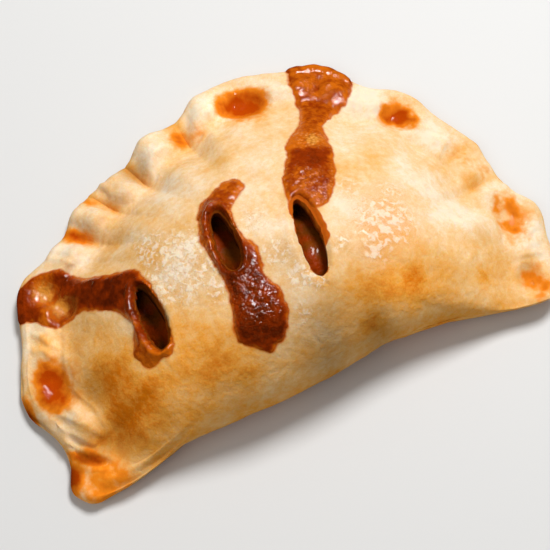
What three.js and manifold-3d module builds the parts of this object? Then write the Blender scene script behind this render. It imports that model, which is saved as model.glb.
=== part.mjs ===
// An apple turnover: a half-moon pastry, folded over its filling, crimped round the arc,
// with three steam slits and the thick juice that boiled out of them.
// Millimetres, +Z up. The pastry lies on its flat base, with the origin in the base,
// +X along the fold towards the right-hand tip and +Y from the fold to the crimped arc.
import * as THREE from "three";
import { ParametricGeometry } from "three/addons/geometries/ParametricGeometry.js";
import { mergeVertices } from "three/addons/utils/BufferGeometryUtils.js";
import Module from "manifold-3d";

const wasm = await Module();
wasm.setup();

const { clamp, lerp, smoothstep, degToRad, radToDeg } = THREE.MathUtils;

// ---- Driving dimensions -------------------------------------------------------------------

const HALF_LENGTH = 62; // from the middle to a tip, along the fold
const MIDDLE_Y = -12; // the line that the outline is measured from
const FOLD_DEPTH = 17; // from that line to the fold
const FOLD_SQUARENESS = 8; // how straight the fold runs: 2 would be an ellipse
const WAIST = { depth: 2, x: 22, width: 15 }; // where the fold draws in
const HEIGHT = 30; // top of the dome
const DOME_FULLNESS = 2.7; // 2 is a parabola, more is a flatter top
const FOLD_ROUNDING = 19; // from the fold to where the dome is full height
const FOLD_ROUNDNESS = 2.2; // 2 is an ellipse, more is a fuller fold
const FOLD_HEIGHT = 11; // height of the fold's widest line
const FOLD_TUCK = 9; // how far the fold curls under before it meets the base

const RIM_WIDTH = 11; // crimped rim, from its edge to the crease
const CREASE_HEIGHT = 6.8; // foot of the dome
const CREASE_DEPTH = 0.8; // groove between the dome and the rim
const CREASE_FOLLOWS = 0.3; // how much of a crimp's rise and fall the crease shares
const FOOT_SOFTNESS = { arc: 0.1, tips: 0.25 }; // how gently the dome runs out into the rim
const EDGE_SLANT = 1.9; // how far the lower layer reaches past the upper one
const EDGE_LIFT = 0.9; // gap under the rim's edge, lifted in the oven
const LIFT_FADES = 0.25; // share of the way to the base's middle where it rests again
const EDGE_SAG = 1.3; // how low down the edge is widest: 1 is halfway
const RIDGE_DROOP = 2.8; // how far a ridge falls towards the edge
const PRESS_TOP = 3.4; // top of a deep valley between two ridges
const RIDGE_TOP = 7.6; // top of an ordinary ridge
const WELL_LIP = 0.25; // dough pushed up round a thumb press
const WELL_POWER = 2.4; // how square the wells are: 2 would be an ellipse
const TIP_TIGHTNESS = 4; // how close to its end a tip stands out past the fold's line

const WALL = 3.2; // thickness of the baked pastry
const FIT_GAP = 0.35; // between the filling and the pastry round it
const HEADROOM = 2.6; // the filling has shrunk from the crust above it
const SLUMP = 1.1; // how uneven the pieces of apple lie
const SLUMP_WAVES = { x: 0.42, y: 0.38, start: 1 }; // radians per mm
const INNER_TAPER = 0.35; // how much the hollow narrows towards the base, per mm of height
const INNER_CORNER = 0.3; // share of the way to its middle where the hollow's floor is flat
const FOOT_SINKS = 0.4; // how far the foot of the dome sinks inside, per mm of thickness
const JUICE_THICKNESS = 1.2; // juice lying on the crust
const JUICE_END = 0.8; // how far a run's round end reaches, in half widths

// Where the rim turns into the fold, in degrees below the middle line. The outline turns
// first, and the section turns from a flat rim to a round fold.
const RIM_ENDS = 17;
const FOLD_STARTS = 26;
const ROUNDING = { left: [18, 8], right: [8, 15] }; // where it starts, and how long it takes
const CREASE_FADES = 12; // the crease is gone here
const SOFT_FOOT = [4, 18, 28, 50]; // the foot turns soft between the first two, and firm again

// Degrees up from the right tip between which the crease gets its full depth.
const CREASE_STARTS = [55, 85];
const LEAST_SLOPE = 0.05; // keeps the fold's line finite at the tips

// Shares of the rim's width from the crease: the bottom of the groove, where a ridge has its
// full height, and where it starts to droop. The crimps shape the dome from DOME_EVEN on.
const GROOVE_BOTTOM = 0.15;
const RIDGE_FULL = 0.5;
const DROOP_STARTS = 0.4;
const DOME_EVEN = 0.55;

// Shares of a well's size: its flat floor, the top of its wall, and the lip round it.
const WELL_FLOOR = 0.15;
const WELL_WALL = 1.2;
const LIP_PLACE = 1.3;
const LIP_SPREAD = 0.25;

// The crimps, round the rim from the right tip to the left tip: ridges and the valleys or
// presses between them, [degrees, reach from the middle, height of the top].
const CRIMPS = [
  [-26, 62.5, 4.6],
  [-14.5, 62.2, 5.4],
  [-6, 62.6, 7.3],
  [1.5, 64.2, 5.8],
  [8.5, 60.8, 7.6],
  [12.5, 60.4, 5.2],
  [16, 60.8, 7.2],
  [22, 62.4, 5.6],
  [30, 61.6, 7.6],
  [40, 63.8, 6],
  [49.5, 61.8, 7.8],
  [60, 64.8, 5],
  [69.5, 63.2, 7.8],
  [79.5, 63.4, 6],
  [88.5, 61.6, 8.8],
  [96, 58, 3.8],
  [105, 58.8, 9.2],
  [112.5, 56.4, 3.2],
  [118, 56.9, 8.8],
  [123.5, 58.4, 3.6],
  [129, 59.4, 8.6],
  [134, 59, 3.8],
  [139.5, 60.4, 8.2],
  [149, 65.3, 6],
  [160, 63.8, 7.8],
  [171, 65, 5.8],
  [183, 60.8, 8.2],
  [188.8, 60.6, 4.6],
  [195, 63, 6.8],
  [206, 60, 4.6],
];

// The wells of the thumb presses, and the groove behind the left tip: [degrees, distance from
// the middle, half the length, half the width, height of the floor, turn from the rim's line].
const WELLS = [
  [-15.4, 55.2, 3.6, 3.2, 5, 0],
  [1, 56, 6.8, 4.4, 4.8, 8],
  [39.8, 55.8, 4.8, 4.4, 4.4, -12],
  [79, 55, 6.4, 4.6, 4, 0],
  [149.7, 57.8, 3.8, 3.8, 4.2, 0],
  [153.5, 53.2, 3, 3, 5.2, 0],
  [172, 57.8, 6.8, 4.5, 4, 0],
  [190.4, 57.4, 5.4, 1.5, 3.4, -39],
];

// Where the lower layer reaches further past the upper one: [degrees, width, how much].
const LOWER_LIPS = [
  [176.5, 5.5, 1.6],
  [192.5, 4, 1.3],
];

// Where pieces of apple push the crust up, or it has sagged: [x, y, radius, rise].
const SWELLS = [
  [-36, -16, 11, 1.1],
  [-17, -14, 9, -0.5],
  [24, -8, 14, 1],
  [30, 12, 12, 0.9],
  [-20, 12, 10, 0.7],
  [2, 16, 9, -0.6],
];

// The steam slits: the middle of each, its length and width, and its turn from +Y in degrees.
const SLITS = [
  { x: -31.2, y: -2.9, length: 16.2, width: 4.4, turn: -3 },
  { x: -9.8, y: 4.9, length: 15.4, width: 4.4, turn: -8 },
  { x: 7.2, y: -2.3, length: 19.4, width: 5.2, turn: -9.5 },
];

// The juice runs out of the slits and over the rim: points along each run, [x, y, half width].
const JUICE_RUNS = [
  [
    [-56, 20.5, 4.4],
    [-48, 16, 5.4],
    [-43, 12.6, 4.4],
    [-37, 8.4, 4.4],
    [-32, 5, 4],
  ],
  [
    [-33, 5, 3],
    [-34.2, -2, 2.2],
    [-34, -7, 3],
    [-33.4, -11, 3.6],
  ],
  [
    [-2, 18, 2.4],
    [-7, 14, 4.4],
    [-9.6, 7, 5],
    [-9.4, -1, 5.8],
    [-9.2, -9, 6.2],
    [-10.6, -16, 6.2],
    [-11.6, -19, 4.8],
  ],
  [
    [31.5, 44.5, 5],
    [29, 38, 6.2],
    [24.8, 31, 4],
    [21, 26.6, 3.2],
    [18, 21, 5],
    [15, 14.5, 5.9],
    [11, 7.5, 5],
  ],
];

// Meshing: pieces round the outline and from the top of the dome to the middle of the base.
const OUTER_MESH = { round: 132, along: 20 };
const INNER_MESH = { round: 50, along: 14 };
const FOLD_SPACING = 0.6; // the plain fold has fewer pieces than the rim

// Shares of the way from the top of the dome to the middle of the base.
const TO_CREASE = 9 / 20;
const TO_EDGE = 15 / 20;
const TO_BASE = 18 / 20;
const HOLLOW_TOP = 9 / 14;

// ---- Outline ------------------------------------------------------------------------------

// Degrees from the right tip, counted up round the arc, with the fold below zero.
function bearing(angle) {
  return ((((radToDeg(angle) + 90) % 360) + 360) % 360) - 90;
}

// Degrees below the middle line, towards the fold.
function belowTips(angle) {
  const degrees = bearing(angle);
  return degrees < 90 ? -degrees : degrees - 180;
}

// 1 where the crimped rim gives the outline and 0 where the fold does.
function rimShare(angle) {
  return 1 - smoothstep(belowTips(angle), RIM_ENDS, FOLD_STARTS);
}

// 1 where the section is a flat rim and 0 where it is a round fold.
function flatShare(angle) {
  const [start, span] = Math.cos(angle) < 0 ? ROUNDING.left : ROUNDING.right;
  return 1 - smoothstep((belowTips(angle) - start) / span, 0, 1);
}

// Reach and height of the rim at an angle. The ridges are round and the valleys sharp.
function crimpAt(angle) {
  const degrees = bearing(angle);
  let next = 1;
  while (next < CRIMPS.length - 1 && CRIMPS[next][0] < degrees) next += 1;
  const [fromDegrees, fromReach, fromTop] = CRIMPS[next - 1];
  const [toDegrees, toReach, toTop] = CRIMPS[next];
  const share = clamp((degrees - fromDegrees) / (toDegrees - fromDegrees), 0, 1);
  const up = toTop > fromTop ? share : 1 - share;
  const low = Math.min(fromTop, toTop);
  const high = Math.max(fromTop, toTop);
  return {
    reach: lerp(fromReach, toReach, smoothstep(share, 0, 1)),
    top: lerp(low, high, Math.sin((Math.PI / 2) * up)),
  };
}

// How much further than usual the lower layer reaches.
function lowerLip(angle) {
  let extra = 0;
  for (const [at, width, more] of LOWER_LIPS) {
    extra += more * Math.exp(-(((bearing(angle) - at) / width) ** 2));
  }
  return extra;
}

// Distance from the middle line to the fold, which draws in at its waist.
function foldDepth(x) {
  return FOLD_DEPTH - WAIST.depth * Math.exp(-(((x - WAIST.x) / WAIST.width) ** 2));
}

// Distance from the middle to the fold: a long, nearly straight side. The inset is how far
// inside the pastry it lies.
function foldReach(angle, inset) {
  const across = Math.cos(angle);
  const forward = Math.max(Math.abs(Math.sin(angle)), LEAST_SLOPE);
  const depth = foldDepth((FOLD_DEPTH * across) / forward) - inset;
  const power = FOLD_SQUARENESS;
  const sum = Math.abs(across / (HALF_LENGTH - inset)) ** power + (forward / depth) ** power;
  return sum ** (-1 / power);
}

// Distance from the middle to the pastry's edge.
function reachAt(angle) {
  return lerp(foldReach(angle, 0), crimpAt(angle).reach + lowerLip(angle), rimShare(angle));
}

// How far a tip stands out past the line of the fold.
function tipBulge(angle) {
  const beyond = Math.max(0, reachAt(angle) - foldReach(angle, 0));
  return beyond * Math.max(0, -Math.sin(angle));
}

// ---- Heights ------------------------------------------------------------------------------

function creaseHeight(angle) {
  return CREASE_HEIGHT + CREASE_FOLLOWS * (crimpAt(angle).top - (PRESS_TOP + RIDGE_TOP) / 2);
}

// How far a point is towards the crease: 0 over the middle of the pastry, 1 at the crease.
function nearCrease(radius, inset) {
  return smoothstep(radius / (HALF_LENGTH - RIM_WIDTH - inset), DOME_EVEN, 1);
}

// How gently the dome runs out into the rim: most gently where the tips turn into the fold.
function footSoftness(angle) {
  const below = belowTips(angle);
  const [softens, soft, firms, firm] = SOFT_FOOT;
  const share = smoothstep(below, softens, soft) - smoothstep(below, firms, firm);
  return lerp(FOOT_SOFTNESS.arc, FOOT_SOFTNESS.tips, share);
}

// How much of the dome is left at a distance from the middle: 1 at the top, 0 at the crease.
// The crimps shape the dome only near the crease.
function archLeft(angle, radius, inset) {
  const even = HALF_LENGTH - RIM_WIDTH - inset;
  const crimped = lerp(even, crimpAt(angle).reach - RIM_WIDTH - inset, rimShare(angle));
  const crease = lerp(even, crimped, nearCrease(radius, inset));
  const left = Math.max(0, 1 - (radius / crease) ** DOME_FULLNESS);
  const softness = footSoftness(angle);
  return ((1 + softness) * left * left) / (left + softness);
}

// Height of the dome over the point at an angle and a distance from the middle. The inset
// is how far inside the pastry the surface lies.
function domeHeight(angle, radius, inset) {
  const x = radius * Math.cos(angle);
  const y = MIDDLE_Y + radius * Math.sin(angle);
  const arch = archLeft(angle, radius, inset);
  const bulge = tipBulge(angle) * (radius / reachAt(angle)) ** TIP_TIGHTNESS;
  const behindFold = (y - MIDDLE_Y + foldDepth(x) + bulge - inset) / FOLD_ROUNDING;
  const ahead = Math.min(1, Math.max(0, 1 - behindFold));
  const back = (1 - ahead ** FOLD_ROUNDNESS) ** (1 / FOLD_ROUNDNESS);
  const foldFoot = (FOLD_HEIGHT - CREASE_HEIGHT) * arch * (1 - back);
  const rimFoot = (creaseHeight(angle) - CREASE_HEIGHT) * rimShare(angle);
  const innerFoot = CREASE_HEIGHT - FOOT_SINKS * inset;
  const foot = innerFoot + foldFoot + rimFoot * nearCrease(radius, inset);
  let swell = 0;
  for (const [swellX, swellY, spread, rise] of SWELLS) {
    swell += rise * Math.exp(-((x - swellX) ** 2 + (y - swellY) ** 2) / spread ** 2);
  }
  const rise = back * arch;
  return foot + (HEIGHT - inset - foot) * rise + swell * Math.min(1, 2 * rise);
}

// Height of the rim's upper face, from 0 at the crease, where it starts at a height, to 1 at
// the edge.
function rimTop(angle, share, start) {
  const { top } = crimpAt(angle);
  const heavy = smoothstep(top, PRESS_TOP, RIDGE_TOP);
  const droop = RIDGE_DROOP * heavy * smoothstep(share, DROOP_STARTS, 1);
  const crease = smoothstep(bearing(angle), ...CREASE_STARTS);
  const depth = CREASE_DEPTH * crease * (1 - smoothstep(belowTips(angle), 0, CREASE_FADES));
  const sunk = smoothstep(share, 0, GROOVE_BOTTOM) - smoothstep(share, GROOVE_BOTTOM, RIDGE_FULL);
  return lerp(start, top, smoothstep(share, 0, RIDGE_FULL)) - droop - depth * sunk;
}

// Height of a surface once the thumb has pressed its wells into it.
function pressed(angle, radius, height) {
  let result = height;
  for (const [degrees, middle, length, width, floor, turn] of WELLS) {
    const beyond = degToRad(((((radToDeg(angle) - degrees + 180) % 360) + 360) % 360) - 180);
    const cos = Math.cos(degToRad(turn));
    const sin = Math.sin(degToRad(turn));
    const along = Math.abs(beyond * middle * cos + (radius - middle) * sin) / length;
    const across = Math.abs((radius - middle) * cos - beyond * middle * sin) / width;
    const away = (along ** WELL_POWER + across ** WELL_POWER) ** (1 / WELL_POWER);
    result -= Math.max(0, result - floor) * (1 - smoothstep(away, WELL_FLOOR, WELL_WALL));
    result += WELL_LIP * Math.exp(-(((away - LIP_PLACE) / LIP_SPREAD) ** 2));
  }
  return result;
}

// ---- Sections from the top of the dome, over the edge, to the middle of the base ----------

// Section across the rim: [distance from the middle, height] at a share of the way.
function rimSection(angle, way) {
  const lip = lowerLip(angle);
  const slant = EDGE_SLANT + lip;
  const shoulder = reachAt(angle) - slant;
  const crease = reachAt(angle) - RIM_WIDTH - lip;
  if (way <= TO_CREASE) {
    const radius = (way / TO_CREASE) * crease;
    return [radius, domeHeight(angle, radius, 0)];
  }
  if (way <= TO_EDGE) {
    const share = (way - TO_CREASE) / (TO_EDGE - TO_CREASE);
    return [lerp(crease, shoulder, share), rimTop(angle, share, domeHeight(angle, crease, 0))];
  }
  if (way <= TO_BASE) {
    const down = (way - TO_EDGE) / (TO_BASE - TO_EDGE);
    const bulge = slant * Math.sin(Math.PI * down ** EDGE_SAG);
    const drop = (1 - Math.cos(Math.PI * down)) / 2;
    return [shoulder + bulge, lerp(rimTop(angle, 1, 0), EDGE_LIFT, drop)];
  }
  const inward = (way - TO_BASE) / (1 - TO_BASE);
  return [shoulder * (1 - inward), EDGE_LIFT * (1 - smoothstep(inward, 0, LIFT_FADES))];
}

// Section across the fold: over its round back, then under to the base.
function foldSection(angle, way) {
  const edge = reachAt(angle);
  const widest = domeHeight(angle, edge, 0);
  const tuck = edge * (1 - (FOLD_TUCK * widest) / (FOLD_HEIGHT * FOLD_DEPTH));
  if (way <= TO_EDGE) {
    const radius = edge * Math.sin((Math.PI / 2) * (way / TO_EDGE));
    return [radius, domeHeight(angle, radius, 0)];
  }
  if (way <= TO_BASE) {
    const turn = ((Math.PI / 2) * (way - TO_EDGE)) / (TO_BASE - TO_EDGE);
    return [lerp(tuck, edge, Math.cos(turn)), widest * (1 - Math.sin(turn))];
  }
  return [(tuck * (1 - way)) / (1 - TO_BASE), 0];
}

// The pastry's outside, or the skin of what lies on it, a thickness further out.
function outsideSection(thickness) {
  return (angle, way) => {
    const share = flatShare(angle);
    const [rimRadius, rimHeight] = rimSection(angle, way);
    const [foldRadius, foldHeight] = foldSection(angle, way);
    const outward = smoothstep(way, 0, TO_CREASE) * (1 - smoothstep(way, TO_BASE, 1));
    const upward = 1 - smoothstep(way, TO_EDGE, TO_BASE);
    const radius = lerp(foldRadius, rimRadius, share);
    let height = lerp(foldHeight, rimHeight, share);
    if (way <= TO_EDGE) height = pressed(angle, radius, height);
    return [radius + thickness * outward, height + thickness * upward];
  };
}

// The hollow inside the pastry, or the filling in it when the inset is larger. The sink
// lowers its top, as a function of x and y.
function insideSection(inset, sink) {
  return (angle, way) => {
    const share = rimShare(angle);
    const crease = crimpAt(angle).reach - RIM_WIDTH - inset;
    const edge = lerp(foldReach(angle, inset), crease, share);
    const edgeHeight = domeHeight(angle, edge, inset);
    if (way <= HOLLOW_TOP) {
      const out = way / HOLLOW_TOP;
      const radius = edge * lerp(Math.sin((Math.PI / 2) * out), out, share);
      const sunk = sink(radius * Math.cos(angle), MIDDLE_Y + radius * Math.sin(angle));
      return [radius, Math.max(edgeHeight, domeHeight(angle, radius, inset) - sunk)];
    }
    const inward = (way - HOLLOW_TOP) / (1 - HOLLOW_TOP);
    const down = smoothstep(inward, 0, INNER_CORNER);
    const radius = edge - INNER_TAPER * (edgeHeight - inset) * down;
    return [radius * (1 - inward ** 3), lerp(edgeHeight, inset, down)];
  };
}

// ---- Solids -------------------------------------------------------------------------------

// Angles that space the pieces evenly along the outline, with fewer along the fold.
function anglesRound(count) {
  const samples = 1440;
  const from = new THREE.Vector3();
  const to = new THREE.Vector3();
  const travelled = [0];
  for (let i = 1; i <= samples; i += 1) {
    const before = (2 * Math.PI * (i - 1)) / samples;
    const angle = (2 * Math.PI * i) / samples;
    placeAt(before, reachAt(before), 0, from);
    placeAt(angle, reachAt(angle), 0, to);
    const spacing = lerp(FOLD_SPACING, 1, rimShare(angle));
    travelled.push(travelled[i - 1] + from.distanceTo(to) * spacing);
  }
  const angles = [];
  let i = 0;
  for (let n = 0; n < count; n += 1) {
    const goal = (travelled[samples] * n) / count;
    while (travelled[i + 1] < goal) i += 1;
    const part = (goal - travelled[i]) / (travelled[i + 1] - travelled[i]);
    angles.push((2 * Math.PI * (i + part)) / samples);
  }
  return angles;
}

function placeAt(angle, radius, height, target) {
  target.set(radius * Math.cos(angle), MIDDLE_Y + radius * Math.sin(angle), height);
}

// A closed solid from a section function, swept round the middle.
function solidOfSections(section, { round, along }) {
  const angles = anglesRound(round);
  const surface = (u, v, target) => {
    const angle = angles[(round - Math.round(u * round)) % round];
    const [radius, height] = section(angle, v);
    placeAt(angle, radius, height, target);
  };
  return toManifold(new ParametricGeometry(surface, round, along));
}

function toManifold(geometry) {
  const bare = geometry.clone();
  bare.deleteAttribute("normal");
  bare.deleteAttribute("uv");
  const merged = mergeVertices(bare, 1e-4);
  const mesh = new wasm.Mesh({
    numProp: 3,
    vertProperties: merged.attributes.position.array,
    triVerts: new Uint32Array(merged.index.array),
  });
  return new wasm.Manifold(mesh);
}

function toMesh(name, solid, material) {
  const { numProp, vertProperties, triVerts } = solid.getMesh();
  const count = vertProperties.length / numProp;
  const positions = new Float32Array(count * 3);
  for (let i = 0; i < count; i += 1) {
    positions.set(vertProperties.subarray(i * numProp, i * numProp + 3), i * 3);
  }
  const geometry = new THREE.BufferGeometry();
  geometry.setAttribute("position", new THREE.BufferAttribute(positions, 3));
  geometry.setIndex(new THREE.BufferAttribute(triVerts, 1));
  const mesh = new THREE.Mesh(geometry, material);
  mesh.name = name;
  return mesh;
}

// A pointed oval, standing upright through the crust above the filling.
function slitCutter({ x, y, length, width, turn }) {
  const half = length / 2;
  const shape = new THREE.Shape();
  shape.moveTo(0, -half);
  shape.bezierCurveTo(width * 0.55, -half, width * 0.62, -half * 0.3, width / 2, half * 0.2);
  shape.bezierCurveTo(width * 0.4, half * 0.7, width * 0.2, half, 0, half);
  shape.bezierCurveTo(-width * 0.3, half, -width * 0.5, half * 0.5, -width / 2, 0);
  shape.bezierCurveTo(-width * 0.5, -half * 0.6, -width * 0.3, -half, 0, -half);
  const geometry = new THREE.ExtrudeGeometry(shape, {
    depth: HEIGHT,
    bevelEnabled: false,
    curveSegments: 5,
  });
  geometry.rotateZ(degToRad(turn));
  geometry.translate(x, y, HEIGHT / 3);
  return toManifold(geometry);
}

// The outline of a run as an upright prism: both its sides and its two round ends.
function juicePrism(run) {
  const left = [];
  const right = [];
  run.forEach(([x, y, half], i) => {
    const [fromX, fromY] = run[Math.max(i - 1, 0)];
    const [toX, toY] = run[Math.min(i + 1, run.length - 1)];
    const heading = new THREE.Vector3(toX - fromX, toY - fromY, 0).setLength(half);
    const endX = JUICE_END * heading.x;
    const endY = JUICE_END * heading.y;
    if (i === 0) right.push(new THREE.Vector3(x - endX, y - endY, 0));
    right.push(new THREE.Vector3(x + heading.y, y - heading.x, 0));
    left.unshift(new THREE.Vector3(x - heading.y, y + heading.x, 0));
    if (i === run.length - 1) right.push(new THREE.Vector3(x + endX, y + endY, 0));
  });
  const outline = new THREE.CatmullRomCurve3([...right, ...left], true);
  const shape = new THREE.Shape(outline.getSpacedPoints(4 * run.length));
  const geometry = new THREE.ExtrudeGeometry(shape, { depth: 2 * HEIGHT, bevelEnabled: false });
  return toManifold(geometry);
}

// Juice on the crust: the skin a thickness further out, kept inside the runs.
function juiceSolid() {
  const skin = solidOfSections(outsideSection(JUICE_THICKNESS), OUTER_MESH);
  const prisms = JUICE_RUNS.map((run) => juicePrism(run));
  return skin.intersect(prisms.reduce((joined, prism) => joined.add(prism)));
}

function crustSolid() {
  const outside = solidOfSections(outsideSection(0), OUTER_MESH);
  const hollow = solidOfSections(insideSection(WALL, () => 0), INNER_MESH);
  const shell = outside.add(juiceSolid()).subtract(hollow);
  return SLITS.reduce((solid, slit) => solid.subtract(slitCutter(slit)), shell);
}

// Soft apple pieces under the crust, slumped and uneven.
function fillingSolid() {
  const { x: waveX, y: waveY, start } = SLUMP_WAVES;
  const slumped = (x, y) => HEADROOM + SLUMP * Math.sin(x * waveX + start) * Math.cos(y * waveY);
  return solidOfSections(insideSection(WALL + FIT_GAP, slumped), INNER_MESH);
}

// ---- Materials and scene ------------------------------------------------------------------

const bakedPastry = new THREE.MeshStandardMaterial({ color: 0xe0b171, roughness: 0.6, metalness: 0 });
const cookedApple = new THREE.MeshStandardMaterial({ color: 0x7d3c12, roughness: 0.3, metalness: 0 });

const turnover = new THREE.Group();
turnover.add(toMesh("crust", crustSolid(), bakedPastry));
turnover.add(toMesh("filling", fillingSolid(), cookedApple));

export default turnover;
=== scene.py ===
"""Looks of an apple turnover: a half-moon pastry with crimps, three steam slits and dark juice.

The forms are worked out in millimetres, in the frame of the solids: the origin is in the flat
base, +X runs along the fold, +Y from the fold to the crimped arc, and +Z is up.
"""

import math
from itertools import accumulate

import bpy
import numpy as np
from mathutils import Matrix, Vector


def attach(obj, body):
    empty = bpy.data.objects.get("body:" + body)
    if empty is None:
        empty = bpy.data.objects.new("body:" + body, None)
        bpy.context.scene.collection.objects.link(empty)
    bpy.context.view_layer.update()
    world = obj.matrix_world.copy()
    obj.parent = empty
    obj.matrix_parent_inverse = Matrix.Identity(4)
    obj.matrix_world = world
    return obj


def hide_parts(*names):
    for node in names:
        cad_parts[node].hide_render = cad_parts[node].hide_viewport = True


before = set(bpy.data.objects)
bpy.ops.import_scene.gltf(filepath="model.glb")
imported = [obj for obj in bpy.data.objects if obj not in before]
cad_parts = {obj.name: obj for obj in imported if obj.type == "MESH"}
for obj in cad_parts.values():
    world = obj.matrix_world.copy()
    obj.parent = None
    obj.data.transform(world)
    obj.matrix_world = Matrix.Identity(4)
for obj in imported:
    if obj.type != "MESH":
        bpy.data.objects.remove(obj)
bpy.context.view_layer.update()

bl_info = {
    "name": "Apple Turnover",
    "version": (1, 0, 0),
    "blender": (4, 5, 0),
    "location": "3D View > Sidebar > Turnover",
    "description": "Builds a baked apple turnover round its solids",
    "category": "Object",
}

MM = 0.001

# ---- Form of the pastry, in millimetres ----

HALF_LENGTH = 62.0  # from the middle to a tip, along the fold
MIDDLE_Y = -12.0  # the line that the outline is measured from
FOLD_DEPTH = 17.0  # from that line to the fold
FOLD_SQUARENESS = 8.0  # how straight the fold runs: 2 would be an ellipse
WAIST_DEPTH, WAIST_X, WAIST_WIDTH = 2.0, 22.0, 15.0  # where the fold draws in
HEIGHT = 30.0  # top of the dome
DOME_FULLNESS = 2.7  # 2 is a parabola, more is a flatter top
FOLD_ROUNDING = 19.0  # from the fold to where the dome is full height
FOLD_ROUNDNESS = 2.2  # 2 is an ellipse, more is a fuller fold
FOLD_HEIGHT = 11.0  # height of the fold's widest line
FOLD_TUCK = 9.0  # how far the fold curls under before it meets the base
RIM_WIDTH = 11.0  # crimped rim, from its edge to the crease
CREASE_HEIGHT = 6.8  # foot of the dome
CREASE_DEPTH = 0.8  # groove between the dome and the rim
CREASE_FOLLOWS = 0.3  # how much of a crimp's rise and fall the crease shares
FOOT_SOFTNESS = (0.1, 0.25)  # round the arc, and where the tips turn into the fold
EDGE_SLANT = 1.9  # how far the lower layer reaches past the upper one
EDGE_LIFT = 0.9  # gap under the rim's edge
LIFT_FADES = 0.25  # share of the way to the base's middle where it rests again
EDGE_SAG = 1.3  # how low down the edge is widest: 1 is halfway
RIDGE_DROOP = 2.8  # how far a ridge falls towards the edge
PRESS_TOP = 3.4  # top of a deep valley between two ridges
RIDGE_TOP = 7.6  # top of an ordinary ridge
WELL_LIP = 0.25  # dough pushed up round a thumb press
WALL = 3.2  # thickness of the baked pastry
FIT_GAP = 0.35  # between the filling and the pastry round it
HEADROOM = 2.6  # the filling has shrunk from the crust above it
SLUMP = 1.1  # how uneven the pieces of apple lie
INNER_TAPER = 0.35  # how much the hollow narrows towards the base, per mm of height
INNER_CORNER = 0.3  # share of the way to its middle where the hollow's floor is flat
FOOT_SINKS = 0.4  # how far the foot of the dome sinks inside, per mm of thickness
LEAST_SLOPE = 0.05  # keeps the fold's line finite at the tips
RIM_ENDS, FOLD_STARTS = 17.0, 26.0  # degrees below the middle line
ROUND_FROM = (18.0, 8.0)  # where the section turns round like the fold's, left and right
ROUND_OVER = (8.0, 15.0)  # degrees over which it does
WELL_POWER = 2.4  # how square the wells are: 2 would be an ellipse
TIP_TIGHTNESS = 4  # how close to its end a tip stands out past the fold's line
CREASE_FADES = 12.0  # degrees below the middle line where the crease is gone
SOFT_FOOT = (4.0, 18.0, 28.0, 50.0)  # degrees below the middle line: softens, soft, firms, firm
CREASE_STARTS = (55.0, 85.0)  # degrees up from the right tip

# Shares of the rim's width from the crease, and of the dome's radius.
GROOVE_BOTTOM = 0.15
RIDGE_FULL = 0.5
DROOP_STARTS = 0.4
DOME_EVEN = 0.55

# Shares of a well's size: its flat floor, the top of its wall, and the lip round it.
WELL_FLOOR = 0.15
WELL_WALL = 1.2
LIP_PLACE, LIP_SPREAD = 1.3, 0.25

# The crimps, from the right tip to the left tip: degrees, reach, height of the top.
CRIMPS = np.array(
    [
        (-26, 62.5, 4.6), (-14.5, 62.2, 5.4), (-6, 62.6, 7.3), (1.5, 64.2, 5.8), (8.5, 60.8, 7.6),
        (12.5, 60.4, 5.2), (16, 60.8, 7.2), (22, 62.4, 5.6), (30, 61.6, 7.6), (40, 63.8, 6),
        (49.5, 61.8, 7.8), (60, 64.8, 5), (69.5, 63.2, 7.8), (79.5, 63.4, 6), (88.5, 61.6, 8.8),
        (96, 58, 3.8), (105, 58.8, 9.2), (112.5, 56.4, 3.2), (118, 56.9, 8.8), (123.5, 58.4, 3.6),
        (129, 59.4, 8.6), (134, 59, 3.8), (139.5, 60.4, 8.2), (149, 65.3, 6), (160, 63.8, 7.8),
        (171, 65, 5.8), (183, 60.8, 8.2), (188.8, 60.6, 4.6), (195, 63, 6.8), (206, 60, 4.6),
    ],
    dtype=float,
)  # fmt: skip

# The wells of the thumb presses, and the groove behind the left tip: degrees, distance from the
# middle, half the length, half the width, height of the floor, turn from the rim's line.
WELLS = (
    (-15.4, 55.2, 3.6, 3.2, 5, 0), (1, 56, 6.8, 4.4, 4.8, 8), (39.8, 55.8, 4.8, 4.4, 4.4, -12),
    (79, 55, 6.4, 4.6, 4, 0), (149.7, 57.8, 3.8, 3.8, 4.2, 0), (153.5, 53.2, 3, 3, 5.2, 0),
    (172, 57.8, 6.8, 4.5, 4, 0), (190.4, 57.4, 5.4, 1.5, 3.4, -39),
)  # fmt: skip

# Where the lower layer reaches further past the upper one: degrees, width, how much further.
LOWER_LIPS = ((176.5, 5.5, 1.6), (192.5, 4.0, 1.3))

# Where pieces of apple push the crust up, or it has sagged: x, y, radius, rise.
SWELLS = (
    (-36, -16, 11, 1.1), (-17, -14, 9, -0.5), (24, -8, 14, 1), (30, 12, 12, 0.9),
    (-20, 12, 10, 0.7), (2, 16, 9, -0.6),
)  # fmt: skip

# The steam slits: x, y, length, width, turn from +Y in degrees.
SLITS = (
    (-31.2, -2.9, 16.2, 4.4, -3.0),
    (-9.8, 4.9, 15.4, 4.4, -8.0),
    (7.2, -2.3, 19.4, 5.2, -9.5),
)

# Shares of the way from the top of the dome to the middle of the base.
TO_CREASE = 9 / 20
TO_EDGE = 15 / 20
TO_BASE = 18 / 20
HOLLOW_TOP = 9 / 14


def ease(x, start, end):
    share = np.clip((x - start) / (end - start), 0.0, 1.0)
    return share * share * (3.0 - 2.0 * share)


def blend(start, end, share):
    return start + (end - start) * share


def bell(value, middle, width):
    """1 at the middle, falling to nothing on both sides."""
    return np.exp(-(((value - middle) / width) ** 2))


def bearing(angle):
    """Degrees from the right tip, counted up round the arc, with the fold below zero."""
    return (np.degrees(angle) + 90.0) % 360.0 - 90.0


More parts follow.
